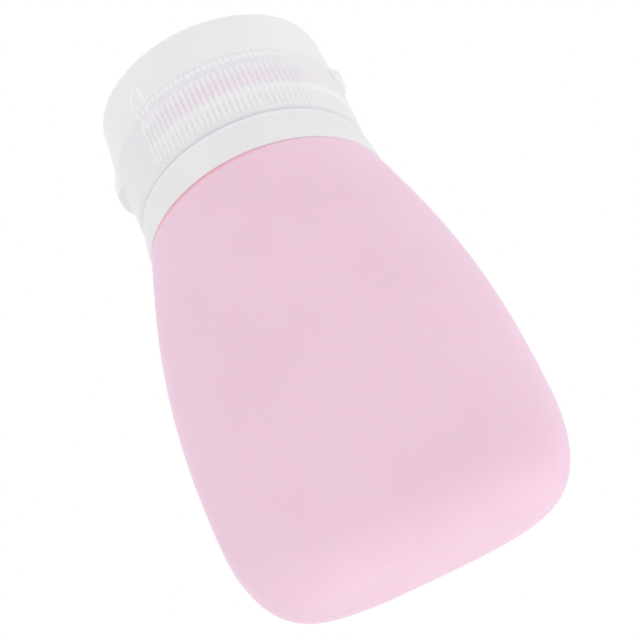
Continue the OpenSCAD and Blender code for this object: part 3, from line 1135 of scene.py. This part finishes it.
@dataclass(frozen=True)
class HingeEar:
    """Rounded ear of the living hinge, which swells out of the wall of the cap or the lid."""

    bulge: float = 0.95
    flare: float = 0.6
    waist: float = 0.36
    waist_reach: float = 0.75
    half_width: float = 4.2
    flare_width: float = 7.0
    cap_rise: Ease = Ease(LEVELS.hinge - 4.4, LEVELS.hinge - 2.0)
    lid_bulge: Ease = Ease(LEVELS.hinge + 3.2, LEVELS.hinge + 0.6)
    lid_flare: Ease = Ease(LEVELS.hinge + 9.6, LEVELS.hinge + 1.5)

    def across(self, y: Array) -> Array:
        """Share of the swelling across the ear: (1 - (y / w)^4)^2, soft at the flanks."""
        t = np.clip(np.abs(y) / self.half_width, 0.0, 1.0)
        return (1.0 - t**4) ** 2

    def field(self, y: Array, x: Array, heights: Array, side: Side) -> Array:
        """Swelling of the wall on the hinge side: a bulge and a flare less a waist.

        On the lid the flare is the wider and the taller of the two, (1 - (y / v)^2)^2.

        The waist, w exp(-((z - h) / r)^2), keeps the two ears behind the hinge's axis
        where they meet, so that they pass each other when the lid opens.

        Args:
            y: Distance of the wall from the plane through the hinge.
            x: Distance along x of the wall.
            heights: Height of the wall.
            side: DOWN for the cap's ear and UP for the lid's.

        Returns:
            The swelling in millimetres.
        """
        across, waist = self.across(y), self.narrowing(heights)
        if side is Side.DOWN:
            swell = (self.bulge + self.flare) * across * self.cap_rise.share(heights)
        else:
            wide = (1.0 - np.clip(np.abs(y) / self.flare_width, 0.0, 1.0) ** 2) ** 2
            swell = (self.bulge * across * self.lid_bulge.share(heights)
                     + self.flare * wide * self.lid_flare.share(heights))
        return np.maximum(swell - waist * across, 0.0) * (x < 0.0)

    def narrowing(self, heights: Array) -> Array:
        """Depth of the waist at each height, in millimetres."""
        return self.waist * np.exp(-(((heights - LEVELS.hinge) / self.waist_reach) ** 2))


@dataclass
class ScrewCap:
    """Screw cap: ribbed skirt, inner thread, deck with nozzle, valve boss, plug ring, ear."""

    skirt: float = 19.75
    rib_depth: float = 0.35
    rib_count: int = 124
    rib_columns: int = 8
    rib_low: float = 0.7
    rib_high: float = 10.7
    bead_low: float = 11.6
    bead_high: float = 12.35
    inner: float = 18.4
    rim_inner: float = 18.4
    hole: float = 5.0
    nozzle: float = 6.5
    boss_inner: float = 7.9
    boss_outer: float = 9.2
    boss_low: float = 83.5
    plug_outer: float = 12.6
    plug_inner: float = 11.6
    plug_low: float = 84.1
    rib_end_x: float = -10.4
    last_rib_x: float = -12.6
    last_rib_high: float = 9.0
    rib_ease: float = 0.36
    rib_fade: Ease = Ease(math.radians(35.0), math.radians(47.0))
    smooth_raised: float = 0.28
    raised_top: Ease = Ease(88.9, 87.8)
    raised_low: Ease = Ease(LEVELS.cap_edge + 0.1, LEVELS.cap_edge + 1.2)
    lip_zone: Window = Window(83.2, 84.2, 86.2, 87.2)
    lip_left: Ease = Ease(-12.4, -6.0)
    deck_zone: Ease = Ease(86.4, 87.2)
    deck_right: Ease = Ease(6.0, 16.0)
    furrow: Window = Window(88.3, 88.6, 89.5, 89.75)
    beads: Window = Window(89.5, 89.75, 90.1, 90.3)
    strip: Window = Window(81.6, 82.4, 83.1, 83.7)
    crest_low: Ease = Ease(LEVELS.cap_low + 0.5, LEVELS.cap_low + 1.8)
    right_side: Ease = Ease(9.0, 18.0)
    corner_x: float = -11.4
    corner_z: float = 89.9
    corner_area: float = 0.5
    edge_zone: Ease = Ease(LEVELS.cap_edge + 0.5, LEVELS.cap_edge + 0.25)
    edge_left: Ease = Ease(-4.0, -17.0)
    hinge_zone: Ease = Ease(85.0, 88.0)
    hinge_left: Ease = Ease(-12.0, -14.5)

    def profile(self) -> Array:
        """Closed profile of the cap, anticlockwise.

        Returns:
            Radius and height (rows, 2).
        """
        low, rim = LEVELS.cap_edge, LEVELS.rim
        deck, top, spout = LEVELS.deck_low, LEVELS.deck_top, LEVELS.nozzle_top
        corners = np.array([
            [self.inner, low], [self.skirt, low], [self.skirt, rim], [self.rim_inner, rim],
            [self.rim_inner, top], [self.nozzle + 0.5, top], [self.nozzle, spout],
            [self.hole, spout], [self.hole, deck], [self.boss_inner, deck],
            [self.boss_inner, self.boss_low], [self.boss_outer, self.boss_low],
            [self.boss_outer, deck], [self.plug_inner, deck], [self.plug_inner, self.plug_low],
            [self.plug_outer, self.plug_low], [self.plug_outer, deck], [self.inner, deck]])
        reach = np.array([0.3, 0.12, 0.08, 0.2, 0.25, 0.3, 0.35, 0.4, 0.05, 0.05, 0.15, 0.15,
                          0.15, 0.15, 0.3, 0.6, 0.15, 0.2])
        line = soften(corners, reach, 3)
        return self.rows_for_ribs(line)

    def rows_for_ribs(self, line: Array) -> Array:
        """Adds rows on the skirt where the ribs start and end, and rows for the thread inside.

        Args:
            line: Rounded profile.

        Returns:
            The profile with the added rows.
        """
        wall = np.nonzero((line[:-1, 0] > self.skirt - 1e-6) & (line[1:, 0] > self.skirt - 1e-6)
                          & (line[1:, 1] - line[:-1, 1] > 5.0))[0][0]
        ease = np.array([0.0, 0.06, 0.14, 0.24, 0.36])
        marks = [self.rib_low + ease, np.linspace(1.6, 9.8, 10), self.rib_high - ease[::-1],
                 self.bead_low + ease, self.bead_high - ease[::-1], [11.05, 12.6]]
        heights = np.unique(np.round(np.concatenate(marks), 3)) + LEVELS.cap_low
        last = line[wall + 1, 1] - 0.02
        heights = heights[heights < last]
        added = np.stack([np.full(len(heights), self.skirt), heights], axis=1)
        joined = np.vstack([line[: wall + 1], added, line[wall + 1 :]])
        return refine(joined, True, 3.0, 0.7, LEVELS.cap_low + 0.5, LEVELS.deck_low - 0.3, -1.0)

    def ribs(self, angles: Array, heights: Array) -> Array:
        """Height of the ribs: their section inside two windows of height.

        Args:
            angles: Column angles (1, columns).
            heights: Row heights (rows, 1) above the cap's lower edge.

        Returns:
            The ribs' height (rows, columns).
        """
        high = np.where(self.rib_x(angles) > self.rib_end_x, self.rib_high, self.last_rib_high)
        tall = smooth_step(heights, self.rib_low, self.rib_low + self.rib_ease) * smooth_step(
            heights, high, high - self.rib_ease)
        short = Window(self.bead_low, self.bead_low + self.rib_ease,
                       self.bead_high - self.rib_ease, self.bead_high).share(heights)
        short = short * (self.rib_x(angles) > self.rib_end_x)
        return self.rib_depth * self.rib_shape(angles) * self.kept(angles) * (tall + short)

    def rib_shape(self, angles: Array) -> Array:
        """Section of the ribs at each angle: (0.5 + 0.5 cos(n a))^1.2, 1 on the crests."""
        return (0.5 + 0.5 * np.cos(self.rib_count * angles)) ** 1.2

    def rib_x(self, angles: Array) -> Array:
        """Distance along x of the rib nearest to each angle."""
        pitch = 2 * math.pi / self.rib_count
        return np.cos(np.round(angles / pitch) * pitch) * self.skirt

    def kept(self, angles: Array) -> Array:
        """Share of the ribs at each angle: they end at the hinge and fade out at the tab.

        Args:
            angles: Angles round the cap; the tab is at 0.

        Returns:
            The share, from 0 to 1.
        """
        from_tab = np.abs(np.arctan2(np.sin(angles), np.cos(angles)))
        return (self.rib_x(angles) > self.last_rib_x) * self.rib_fade.share(from_tab)

    def column_angles(self) -> Array:
        """Angles of the columns: eight to a rib, fewer where the skirt is smooth.

        Returns:
            The angles in rising order.
        """
        count = self.rib_count * self.rib_columns
        index = np.arange(count)
        angles = index * 2 * math.pi / count
        from_tab = np.abs(np.arctan2(np.sin(angles), np.cos(angles)))
        fine = (from_tab > math.radians(34.0)) & (from_tab < math.radians(134.0))
        ear = from_tab > math.radians(168.0)
        return angles[fine | (ear & (index % 2 == 0)) | (index % 6 == 0)]

    def raised(self, angles: Array, heights: Array) -> Array:
        """How far the smooth parts of the skirt stand out, level with the ribs' crests.

        Args:
            angles: Column angles (1, columns).
            heights: Row heights (rows, 1).

        Returns:
            The swelling in millimetres (rows, columns).
        """
        x = np.cos(angles) * self.skirt
        hinge_side = smooth_step(x, self.last_rib_x - 0.4, self.last_rib_x - 2.0)
        tab_side = (x > 0.0) * (1.0 - self.kept(angles)) * self.raised_top.share(heights)
        low = self.raised_low.share(heights)
        return self.smooth_raised * np.maximum(hinge_side, tab_side) * low

    def build(self) -> bpy.types.Object:
        """Builds the cap with its ribs, thread, lowered hinge side and ear.

        Returns:
            The piece.
        """
        angles = self.column_angles()
        line = self.profile()
        field = np.repeat(line[:, None], len(angles), axis=1)
        height = line[:, 1:2]
        outer = line[:, 0:1] > self.skirt - 0.36
        field[..., 0] += np.where(outer, self.ribs(angles[None], height - LEVELS.cap_low), 0.0)
        wall_x = self.skirt * np.cos(angles)[None]
        inside = (np.abs(line[:, 0:1] - self.inner) < 0.02) & (height < LEVELS.deck_low - 0.3)
        thread = Thread(start=78.15, first=math.radians(70), last=math.radians(500))
        field[..., 0] -= np.where(inside, thread.ridge(angles[None], height), 0.0)
        upper = (height > LEVELS.deck_top) & (line[:, 0:1] > self.rim_inner - 0.3)
        wall_y = self.skirt * np.sin(angles)[None]
        hinge_top = PARTING.height(wall_y) - LEVELS.hinge_play
        lowered = (hinge_top - LEVELS.deck_top) / (LEVELS.rim - LEVELS.deck_top)
        scale = np.where(wall_x < PARTING.step_x, lowered, 1.0)
        squeezed = LEVELS.deck_top + (height - LEVELS.deck_top) * scale
        field[..., 1] = np.where(upper, squeezed, height)
        recess = Notch().field(wall_x, field[..., 1], Side.DOWN)
        field[..., 0] = sunk_in(field, recess, self.inner, self.skirt)
        ear = HingeEar().field(wall_y, wall_x, field[..., 1], Side.DOWN)
        raised = self.raised(angles[None], height)
        field[..., 0] += np.where(outer, np.maximum(ear, raised), 0.0)
        surface = Surface().grid(turned(field, angles), closed=True)
        piece = surface.piece("ribbed_screw_cap", "screw_cap", "frosted_cap")
        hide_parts("cap")
        return piece

    def dress(self, piece: bpy.types.Object) -> None:
        """Gives the cap its see-through frosted plastic, with light and shade painted on it.

        The thin skirt lets the pink lip through and the ribs scatter more light, so the
        ribbed part is painted pink where the lip shows through and lilac shade above it, and
        then the ribs' crests get painted highlights and a strip below the lip is painted nearly
        white. The edge over the collar is painted lilac as the shade of the gap there, the band
        under the hinge side of the lid gets a fainter painted shade, and the corner beside the
        notch is painted pink. The notch's legs and the upper ends of the short ribs get white
        painted highlights.

        Args:
            piece: The cap.
        """
        points = spots(piece)
        radius = np.hypot(points[:, 0], points[:, 1])
        angle = np.arctan2(points[:, 1], points[:, 0])
        height = points[:, 2]
        outer = radius > self.skirt - 0.4
        x = points[:, 0]
        furrow, right = self.furrow.share(height), self.right_side.share(x)
        crest = self.rib_shape(angle) * self.kept(angle) * outer * (1.0 - furrow)
        crest = crest * self.crest_low.share(height)
        ribbed = smooth_step(x, self.last_rib_x, self.last_rib_x + 1.5) * outer
        lip = self.lip_zone.share(height)
        lip_left = 0.15 + 0.85 * self.lip_left.share(x)
        above = self.deck_zone.share(height) * (x > PARTING.step_x)
        corner = np.exp(-((x - self.corner_x) ** 2 + (height - self.corner_z) ** 2)
                        / self.corner_area) * outer
        hinge_side_shade = self.hinge_zone.share(height) * self.hinge_left.share(x)
        # Painted light: the pink lip seen through the skirt, with the same pink on the corner
        # beside the notch.
        paint(piece, "lip_seen", np.maximum(
            ribbed * lip * lip_left * (0.6 - 0.5 * right), 0.7 * corner))
        # Painted lilac shade of the deck seen through the skirt.
        paint(piece, "deck_seen", ribbed * above * (1.0 - 0.3 * furrow)
              * (1.0 - 0.8 * self.deck_right.share(x)))
        # Painted highlights on the ribs' crests.
        paint(piece, "rib", crest * (1.0 - 0.3 * lip))
        paint(piece, "strip", self.strip.share(height) * ribbed * 0.6)
        # Lilac painted shade of the gap over the collar, on the skirt's lower edge.
        paint(piece, "skirt_gap_shade", self.edge_zone.share(height) * outer
              * (1.0 - 0.5 * self.edge_left.share(x)))
        # Faint painted lilac shade on the band under the hinge side of the lid.
        paint(piece, "hinge_side_shade", hinge_side_shade * outer)
        # White painted highlights on the notch's legs and on the upper ends of the short ribs.
        paint(piece, "white", np.maximum(Notch().legs(x, height) * outer,
                                         self.beads.share(height) * crest * (1.0 - right)))
        finish = FrostedFinish("frosted_cap_plastic", tone(243, 243, 244),
                               tone(240, 240, 241), roughness=(0.45, 0.55),
                               tints=(("deck_seen", tone(244, 239, 247)),
                                      ("lip_seen", tone(248, 224, 246)),
                                      ("rib", tone(253, 252, 254)),
                                      ("strip", tone(253, 252, 254)),
                                      ("skirt_gap_shade", tone(232, 227, 235)),
                                      ("hinge_side_shade", tone(241, 241, 245)),
                                      ("white", tone(255, 255, 255))))
        piece.data.materials.append(finish.make())


@dataclass
class FlipLid:
    """Flip lid: shallow cup with a plug skirt, a ring over the nozzle, a post, tab and ear."""

    base_radius: float = 19.75
    top_radius: float = 19.5
    wall: float = 1.35
    edge: float = 1.3
    plug_radius: float = 18.1
    ring_inner: float = 7.1
    ring_outer: float = 8.1
    ring_low: float = 89.3
    post_radius: float = 2.4
    post_low: float = 88.6
    tab_reach: float = 20.95
    tab_inner: float = 19.77
    tab_half: float = 3.3
    tab_low: float = 88.95
    tab_high: float = 91.55
    tab_out: Ease = Ease(0.7, 0.25)
    tab_down: Ease = Ease(0.2, -0.5)
    tab_fade: Ease = Ease(0.75, -0.35)
    drop_zone: Ease = Ease(LEVELS.lid_low + 3.0, LEVELS.lid_low + 0.1)
    columns: int = 560

    def profile(self) -> Array:
        """Profile from the post's tip out, up the wall and in over the top.

        Returns:
            Radius and height, without the two points on the axis (rows, 2).
        """
        low, top = LEVELS.lid_low, LEVELS.lid_top
        roof = top - self.wall
        inner = self.base_radius - self.wall
        plug, tip = self.plug_radius, LEVELS.hinge + 0.45
        corners = np.array([
            [0.0, self.post_low], [self.post_radius, self.post_low], [self.post_radius, roof],
            [self.ring_inner, roof], [self.ring_inner, self.ring_low],
            [self.ring_outer, self.ring_low], [self.ring_outer, roof],
            [self.top_radius - self.wall - 0.9, roof], [plug - 1.1, low + 1.2],
            [plug - 1.1, tip], [plug, tip], [plug, low - 0.1], [inner, low],
            [self.base_radius, low], [self.top_radius, top], [0.0, top]])
        reach = np.array([0.0, 0.3, 0.3, 0.3, 0.3, 0.3, 0.3, 0.6, 0.3, 0.2, 0.35, 0.04, 0.1,
                          0.08, self.edge * 1.25, 0.0])
        line = soften_open(corners, reach, 5)
        line = refine(line, False, 3.2, 0.25, low, low + 4.2, self.base_radius - 0.3)
        return line[1:-1]

    def build(self) -> bpy.types.Object:
        """Builds the lid with its dropped hinge side, notch, tab and ear.

        Returns:
            The piece.
        """
        angles = self.column_angles()
        line = self.profile()
        field = np.repeat(line[:, None], self.columns, axis=1)
        height = line[:, 1:2]
        wall_x = self.base_radius * np.cos(angles)[None]
        wall_y = self.base_radius * np.sin(angles)[None]
        drop = LEVELS.lid_low - PARTING.height(wall_y) - LEVELS.hinge_play
        edge = line[:, 0:1] > self.base_radius - self.wall - 0.05
        dropped = edge & (wall_x < PARTING.step_x - 0.05)
        sunk = np.where(dropped, drop * self.drop_zone.share(height), 0.0)
        field[..., 1] = height - sunk
        shell = line[:, 0:1] > self.base_radius - 0.35
        ear = HingeEar().field(wall_y, wall_x, field[..., 1], Side.UP)
        field[..., 0] += np.where(shell, ear, 0.0)
        field = self.with_tongue(field, line, wall_y, wall_x)
        wall = field[..., 1] > LEVELS.hinge - 0.5
        outer = wall & (field[..., 0] > self.base_radius - self.wall)
        recess = np.where(outer, Notch().field(wall_x, field[..., 1], Side.UP), 0.0)
        field[..., 0] = sunk_in(field, recess, self.base_radius - self.wall, self.base_radius)
        surface = Surface().grid(turned(field, angles),
                                 low_pole=np.array([0.0, 0.0, self.post_low]),
                                 high_pole=np.array([0.0, 0.0, LEVELS.lid_top]))
        piece = surface.piece("flip_lid_cup", "flip_lid", "frosted_lid")
        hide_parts("lid")
        return piece

    def column_angles(self) -> Array:
        """Angles of the columns, three times as dense at the tab, notches and ear.

        Returns:
            The angles in rising order.
        """
        grid = np.radians(np.linspace(-180.0, 180.0, 7201))
        from_tab = np.degrees(np.abs(grid))
        dense = (from_tab < 10.0) | ((from_tab > 115.0) & (from_tab < 134.0)) | (from_tab > 169.0)
        run = np.concatenate([[0.0], np.cumsum((1.0 + 2.0 * dense)[:-1])])
        return np.interp(np.arange(self.columns) / self.columns, run / run[-1], grid)

    def with_tongue(self, field: Array, line: Array, wall_y: Array, wall_x: Array) -> Array:
        """Draws the thumb tab out of the lid's lower edge as a rounded tongue.

        Rows that lie together on the lower edge open into the tab's section. Seen from
        above the tab is a soft bump, r = b + e (1 - (y / w)^4)^2, and the wall above it
        swells out to meet it.

        Args:
            field: Radius and height of each point (rows, columns, 2).
            line: Profile that the field was made from.
            wall_y: Distance of each column's wall from the middle plane (1, columns).
            wall_x: Distance along x of each column's wall (1, columns).

        Returns:
            The field with the tab's rows added.
        """
        low = LEVELS.lid_low
        edge = np.nonzero((line[:, 0] > self.base_radius - 0.14) & (line[:, 1] < low + 0.01))[0][0]
        corners = np.array([[-0.4, low], [0.0, low], [0.0, self.tab_low], [1.0, self.tab_low],
                            [1.0, low - 0.03]])
        section = soften_open(corners, np.array([0.0, 0.1, 0.04, 0.6, 0.0]), 8)[1:]
        section = refine(section, False, 0.25, 0.25, 0.0, 0.0, 0.0)
        away = np.where(wall_x > 0.0, np.abs(wall_y), 99.0)
        share = (1.0 - np.clip(away / self.tab_half, 0.0, 1.0) ** 4) ** 2
        outer = self.tab_inner + 0.01 + (self.tab_reach - self.tab_inner) * share
        out = self.tab_out.share(away - self.tab_half)
        down = self.tab_down.share(away - self.tab_half)
        count = len(section)
        home = self.base_radius - 0.16 + 0.03 * np.arange(count)[:, None] / count
        radius = self.tab_inner + section[:, 0:1] * (outer - self.tab_inner)
        radius = home + (np.maximum(radius, home) - home) * out
        height = low + (section[:, 1:2] - low) * down
        tongue = np.stack([radius, height], axis=-1)
        above = (line[:, 0:1] > self.base_radius - 0.14) & (line[:, 1:2] < self.tab_high + 1.5)
        level = self.tab_fade.share(line[:, 1:2] - self.tab_high)
        swell = (outer - line[:, 0:1]) * out * level
        field[..., 0] += np.where(above, swell, 0.0)
        return np.concatenate([field[:edge], tongue, field[edge:]], axis=0)

    def dress(self, piece: bpy.types.Object) -> None:
        """Gives the lid its frosted plastic, with white painted highlights on the notch's legs.

        Args:
            piece: The lid.
        """
        points = spots(piece)
        outer = np.hypot(points[:, 0], points[:, 1]) > self.top_radius - 0.6
        # White painted highlights on the notch's legs.
        paint(piece, "leg", Notch().legs(points[:, 0], points[:, 2]) * outer)
        finish = FrostedFinish("frosted_lid_plastic", roughness=(0.45, 0.55),
                               tints=(("leg", tone(255, 255, 255)),))
        piece.data.materials.append(finish.make())


@dataclass
class FilmHinge:
    """Thin film that joins the two ears and bends when the lid opens."""

    thick: float = 0.06
    edge: float = 0.015
    gap: float = 0.02
    width: float = 8.2
    low: float = 87.5
    high: float = 90.1
    wall: float = 19.75
    axis_x: float = -21.0
    bend: float = 0.45
    rows: int = 45

    def build(self) -> bpy.types.Object:
        """Builds the film as a strip of many rows that bridges the waist of the two ears.

        Its inner face lies at x = -sqrt(r^2 - y^2) - gap, where r blends the lower ear's
        radius into the upper one's. Its outer face is thicker by the waist, which so does
        not show, and both faces close to the edge thickness at the film's border.

        Returns:
            The piece.
        """
        heights = np.linspace(self.low, self.high, self.rows)
        tall = np.linspace(-1.0, 1.0, self.rows)[:, None]
        wide = np.sin(np.linspace(-math.pi / 2, math.pi / 2, self.rows))
        y = wide * self.width / 2
        ear = HingeEar()
        tall_z, behind = heights[:, None], np.full((1, len(y)), -1.0)
        below = np.maximum(ear.field(y[None], behind, tall_z, Side.DOWN),
                           ScrewCap().smooth_raised)
        above = ear.field(y[None], behind, tall_z, Side.UP)
        upper = smooth_step(tall_z, LEVELS.hinge - 0.4, LEVELS.hinge + 0.4)
        swell = below + (above - below) * upper
        waist = ear.narrowing(heights)[:, None] * ear.across(y)[None]
        body = (1.0 - wide**8) * np.sqrt(1.0 - 0.96 * tall**4)
        inner = -np.sqrt((self.wall + swell) ** 2 - y**2) - self.gap
        outer = inner - self.edge - (waist + self.thick) * body
        x = np.hstack([outer, inner[:, ::-1]])
        y = np.broadcast_to(np.concatenate([y, y[::-1]])[None], x.shape)
        z = np.broadcast_to(heights[:, None], x.shape)
        rows = np.stack([x, y, z], axis=-1)
        surface = Surface().grid(rows, low_pole=rows[0].mean(axis=0),
                                 high_pole=rows[-1].mean(axis=0))
        piece = surface.loose("hinge_film_strip")
        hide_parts("film_hinge")
        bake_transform(piece)
        return piece

    def dress(self, piece: bpy.types.Object) -> None:
        """Gives the film its frosted plastic."""
        finish = FrostedFinish("frosted_film_plastic", clear=0.2)
        piece.data.materials.append(finish.make())


@dataclass
class ValveSet:
    """Slit valve and its ring, which keep their CAD shapes and get their materials here."""

    valve: str = "valve"
    ring: str = "valve_retainer"

    def dress(self) -> list[bpy.types.Object]:
        """Puts the materials on the two CAD nodes.

        Returns:
            The nodes' objects.
        """
        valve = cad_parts[self.valve]
        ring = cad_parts[self.ring]
        clear = SiliconeFinish("clear_valve_silicone", tone(246, 238, 243),
                               tone(240, 231, 238), tone(232, 222, 230), sheen=0.05,
                               subsurface=0.4, lipped=False)
        white = FrostedFinish("white_ring_plastic", tone(240, 240, 240), tone(234, 234, 235),
                              clear=0.15)
        for obj, finish in ((valve, clear), (ring, white)):
            obj.data.materials.clear()
            obj.data.materials.append(finish.make())
        return [valve, ring]


@dataclass(frozen=True)
class Lamp:
    """Square soft lamp. Its distance and side are in metres and its power in watts."""

    name: str
    direction: tuple
    distance: float
    size: float
    power: float


@dataclass
class Studio:
    """Plain pale floor, white surround, soft lamps and the camera of the picture.

    The view lamps' directions are shares of the camera's right, up and back directions,
    and the room lamps' are along x, y and z.
    """

    target: tuple = (0.52, 0.0, 49.06)
    azimuth: float = math.radians(1.14)
    elevation: float = math.radians(-33.15)
    roll: float = math.radians(-24.96)
    distance: float = 600.0
    lens: float = 209.4
    sensor: float = 36.0
    surround: float = 0.9
    lamp_target: tuple = (0.0, 0.0, 0.05)
    view_lamps: tuple = (Lamp("key", (0.85, -0.5, 0.6), 0.9, 0.7, 1.9),
                         Lamp("right_fill", (1.0, -0.25, -0.1), 0.9, 0.7, 0.35),
                         Lamp("left_fill", (-1.0, -0.3, 0.4), 1.0, 0.8, 0.9))
    room_lamps: tuple = (Lamp("top_fill", (0.3, -0.4, 1.0), 1.0, 0.8, 1.2),
                         Lamp("back_fill", (-0.3, 1.0, 0.4), 1.0, 0.8, 1.2))
    floor_half: float = 6000.0
    floor_height: float = -0.3

    def axes(self) -> tuple[Array, Array, Array]:
        """Works out which way the camera looks.

        Returns:
            Unit vectors to its right, up and back.
        """
        az, el = self.azimuth, self.elevation
        back = np.array([math.sin(az) * math.cos(el), -math.cos(az) * math.cos(el),
                         math.sin(el)])
        right = np.cross(-back, np.array([0.0, 0.0, 1.0]))
        right /= np.linalg.norm(right)
        up = np.cross(right, -back)
        c, s = math.cos(self.roll), math.sin(self.roll)
        return c * right + s * up, -s * right + c * up, back

    def camera(self) -> None:
        """Adds the camera and makes it the scene's."""
        right, up, back = self.axes()
        place = np.array(self.target) + back * self.distance
        data = bpy.data.cameras.new("camera")
        data.lens, data.sensor_width = self.lens, self.sensor
        data.clip_start, data.clip_end = 0.01, 50.0
        obj = bpy.data.objects.new("camera", data)
        bpy.context.scene.collection.objects.link(obj)
        pose = np.eye(4)
        pose[:3, :3] = np.stack([right, up, back], axis=1)
        pose[:3, 3] = place * MM
        obj.matrix_world = Matrix(pose.tolist())
        bpy.context.scene.camera = obj

    def hang(self, lamp: Lamp, direction: Array) -> None:
        """Hangs a lamp so that it faces the middle of the bottle.

        Args:
            lamp: The lamp.
            direction: Direction from the bottle to the lamp.
        """
        data = bpy.data.lights.new(lamp.name, "AREA")
        data.size, data.energy = lamp.size, lamp.power
        obj = bpy.data.objects.new(lamp.name, data)
        bpy.context.scene.collection.objects.link(obj)
        unit = Vector(direction).normalized()
        turn = unit.to_track_quat("Z", "Y").to_matrix().to_4x4()
        place = Vector(self.lamp_target) + unit * lamp.distance
        obj.matrix_world = Matrix.Translation(place) @ turn
        obj.visible_camera = False

    def lamps(self) -> None:
        """Hangs the key lamp at the picture's lower right and the four fills."""
        right, up, back = self.axes()
        for lamp in self.view_lamps:
            along_right, along_up, along_back = lamp.direction
            self.hang(lamp, right * along_right + up * along_up + back * along_back)
        for lamp in self.room_lamps:
            self.hang(lamp, np.array(lamp.direction))

    def world(self) -> None:
        """Makes the white surround, weaker as a source of light than as a background."""
        world = bpy.data.worlds.new("surround")
        world.use_nodes = True
        tree = world.node_tree
        soft = tree.nodes["Background"]
        soft.inputs["Color"].default_value = (1.0, 1.0, 1.0, 1.0)
        soft.inputs["Strength"].default_value = self.surround
        white = tree.nodes.new("ShaderNodeBackground")
        white.inputs["Color"].default_value = (1.0, 1.0, 1.0, 1.0)
        white.inputs["Strength"].default_value = 1.0
        path = tree.nodes.new("ShaderNodeLightPath")
        share = path.outputs["Is Camera Ray"]
        for name in ("Is Glossy Ray", "Is Transmission Ray"):
            most = tree.nodes.new("ShaderNodeMath")
            most.operation = "MAXIMUM"
            tree.links.new(share, most.inputs[0])
            tree.links.new(path.outputs[name], most.inputs[1])
            share = most.outputs[0]
        mix = tree.nodes.new("ShaderNodeMixShader")
        tree.links.new(share, mix.inputs[0])
        tree.links.new(soft.outputs[0], mix.inputs[1])
        tree.links.new(white.outputs[0], mix.inputs[2])
        tree.links.new(mix.outputs[0], tree.nodes["World Output"].inputs["Surface"])
        bpy.context.scene.world = world

    def floor(self) -> None:
        """Makes the pale floor, seen from above only, as the picture looks up past it."""
        corners = np.array([[-1.0, -1.0], [1.0, -1.0], [1.0, 1.0], [-1.0, 1.0]])
        flat = np.full((4, 1), self.floor_height)
        square = np.hstack([corners * self.floor_half, flat])[None]
        inner = square * np.array([0.5, 0.5, 1.0])
        middle = np.array([0.0, 0.0, self.floor_height])
        obj = Surface().grid(np.vstack([square, inner]), high_pole=middle).loose("floor")
        nodes = Nodes("pale_floor")
        cloud = nodes.ranged(nodes.noise(3.0, 2.0), 0.0, 1.0)
        nodes.link(nodes.mixed(cloud, tone(250, 250, 250), tone(247, 247, 248)), "Base Color")
        nodes.put(Roughness=0.9, Specular_IOR_Level=0.1)
        tree = nodes.tree
        clear = tree.nodes.new("ShaderNodeBsdfTransparent")
        side = tree.nodes.new("ShaderNodeNewGeometry").outputs["Backfacing"]
        seen = tree.nodes.new("ShaderNodeLightPath").outputs["Is Camera Ray"]
        above = tree.nodes.new("ShaderNodeMath")
        above.operation = "SUBTRACT"
        above.use_clamp = True
        tree.links.new(seen, above.inputs[0])
        tree.links.new(side, above.inputs[1])
        mix = tree.nodes.new("ShaderNodeMixShader")
        tree.links.new(above.outputs[0], mix.inputs[0])
        tree.links.new(clear.outputs[0], mix.inputs[1])
        tree.links.new(nodes.shader.outputs[0], mix.inputs[2])
        tree.links.new(mix.outputs[0], tree.nodes["Material Output"].inputs["Surface"])
        obj.data.materials.append(nodes.material)

    def build(self) -> None:
        """Builds floor, surround, lamps and camera, and sets the view transform."""
        self.floor()
        self.world()
        self.lamps()
        self.camera()
        bpy.context.scene.view_settings.view_transform = "Standard"


def main() -> None:
    """Builds and dresses each piece in order and reports it."""
    logging.basicConfig(level=logging.INFO, format="%(name)s: %(message)s")
    for maker in (SoftBody(), NeckCollar(), ScrewCap(), FlipLid(), FilmHinge()):
        piece = maker.build()
        maker.dress(piece)
        LOG.info("%s: %d faces", piece.name, len(piece.data.polygons))
    for node in ValveSet().dress():
        LOG.info("%s: kept, with its material", node.name)
    Studio().build()
    LOG.info("floor, surround, lamps and camera are in place")


if __name__ == "__main__":
    main()
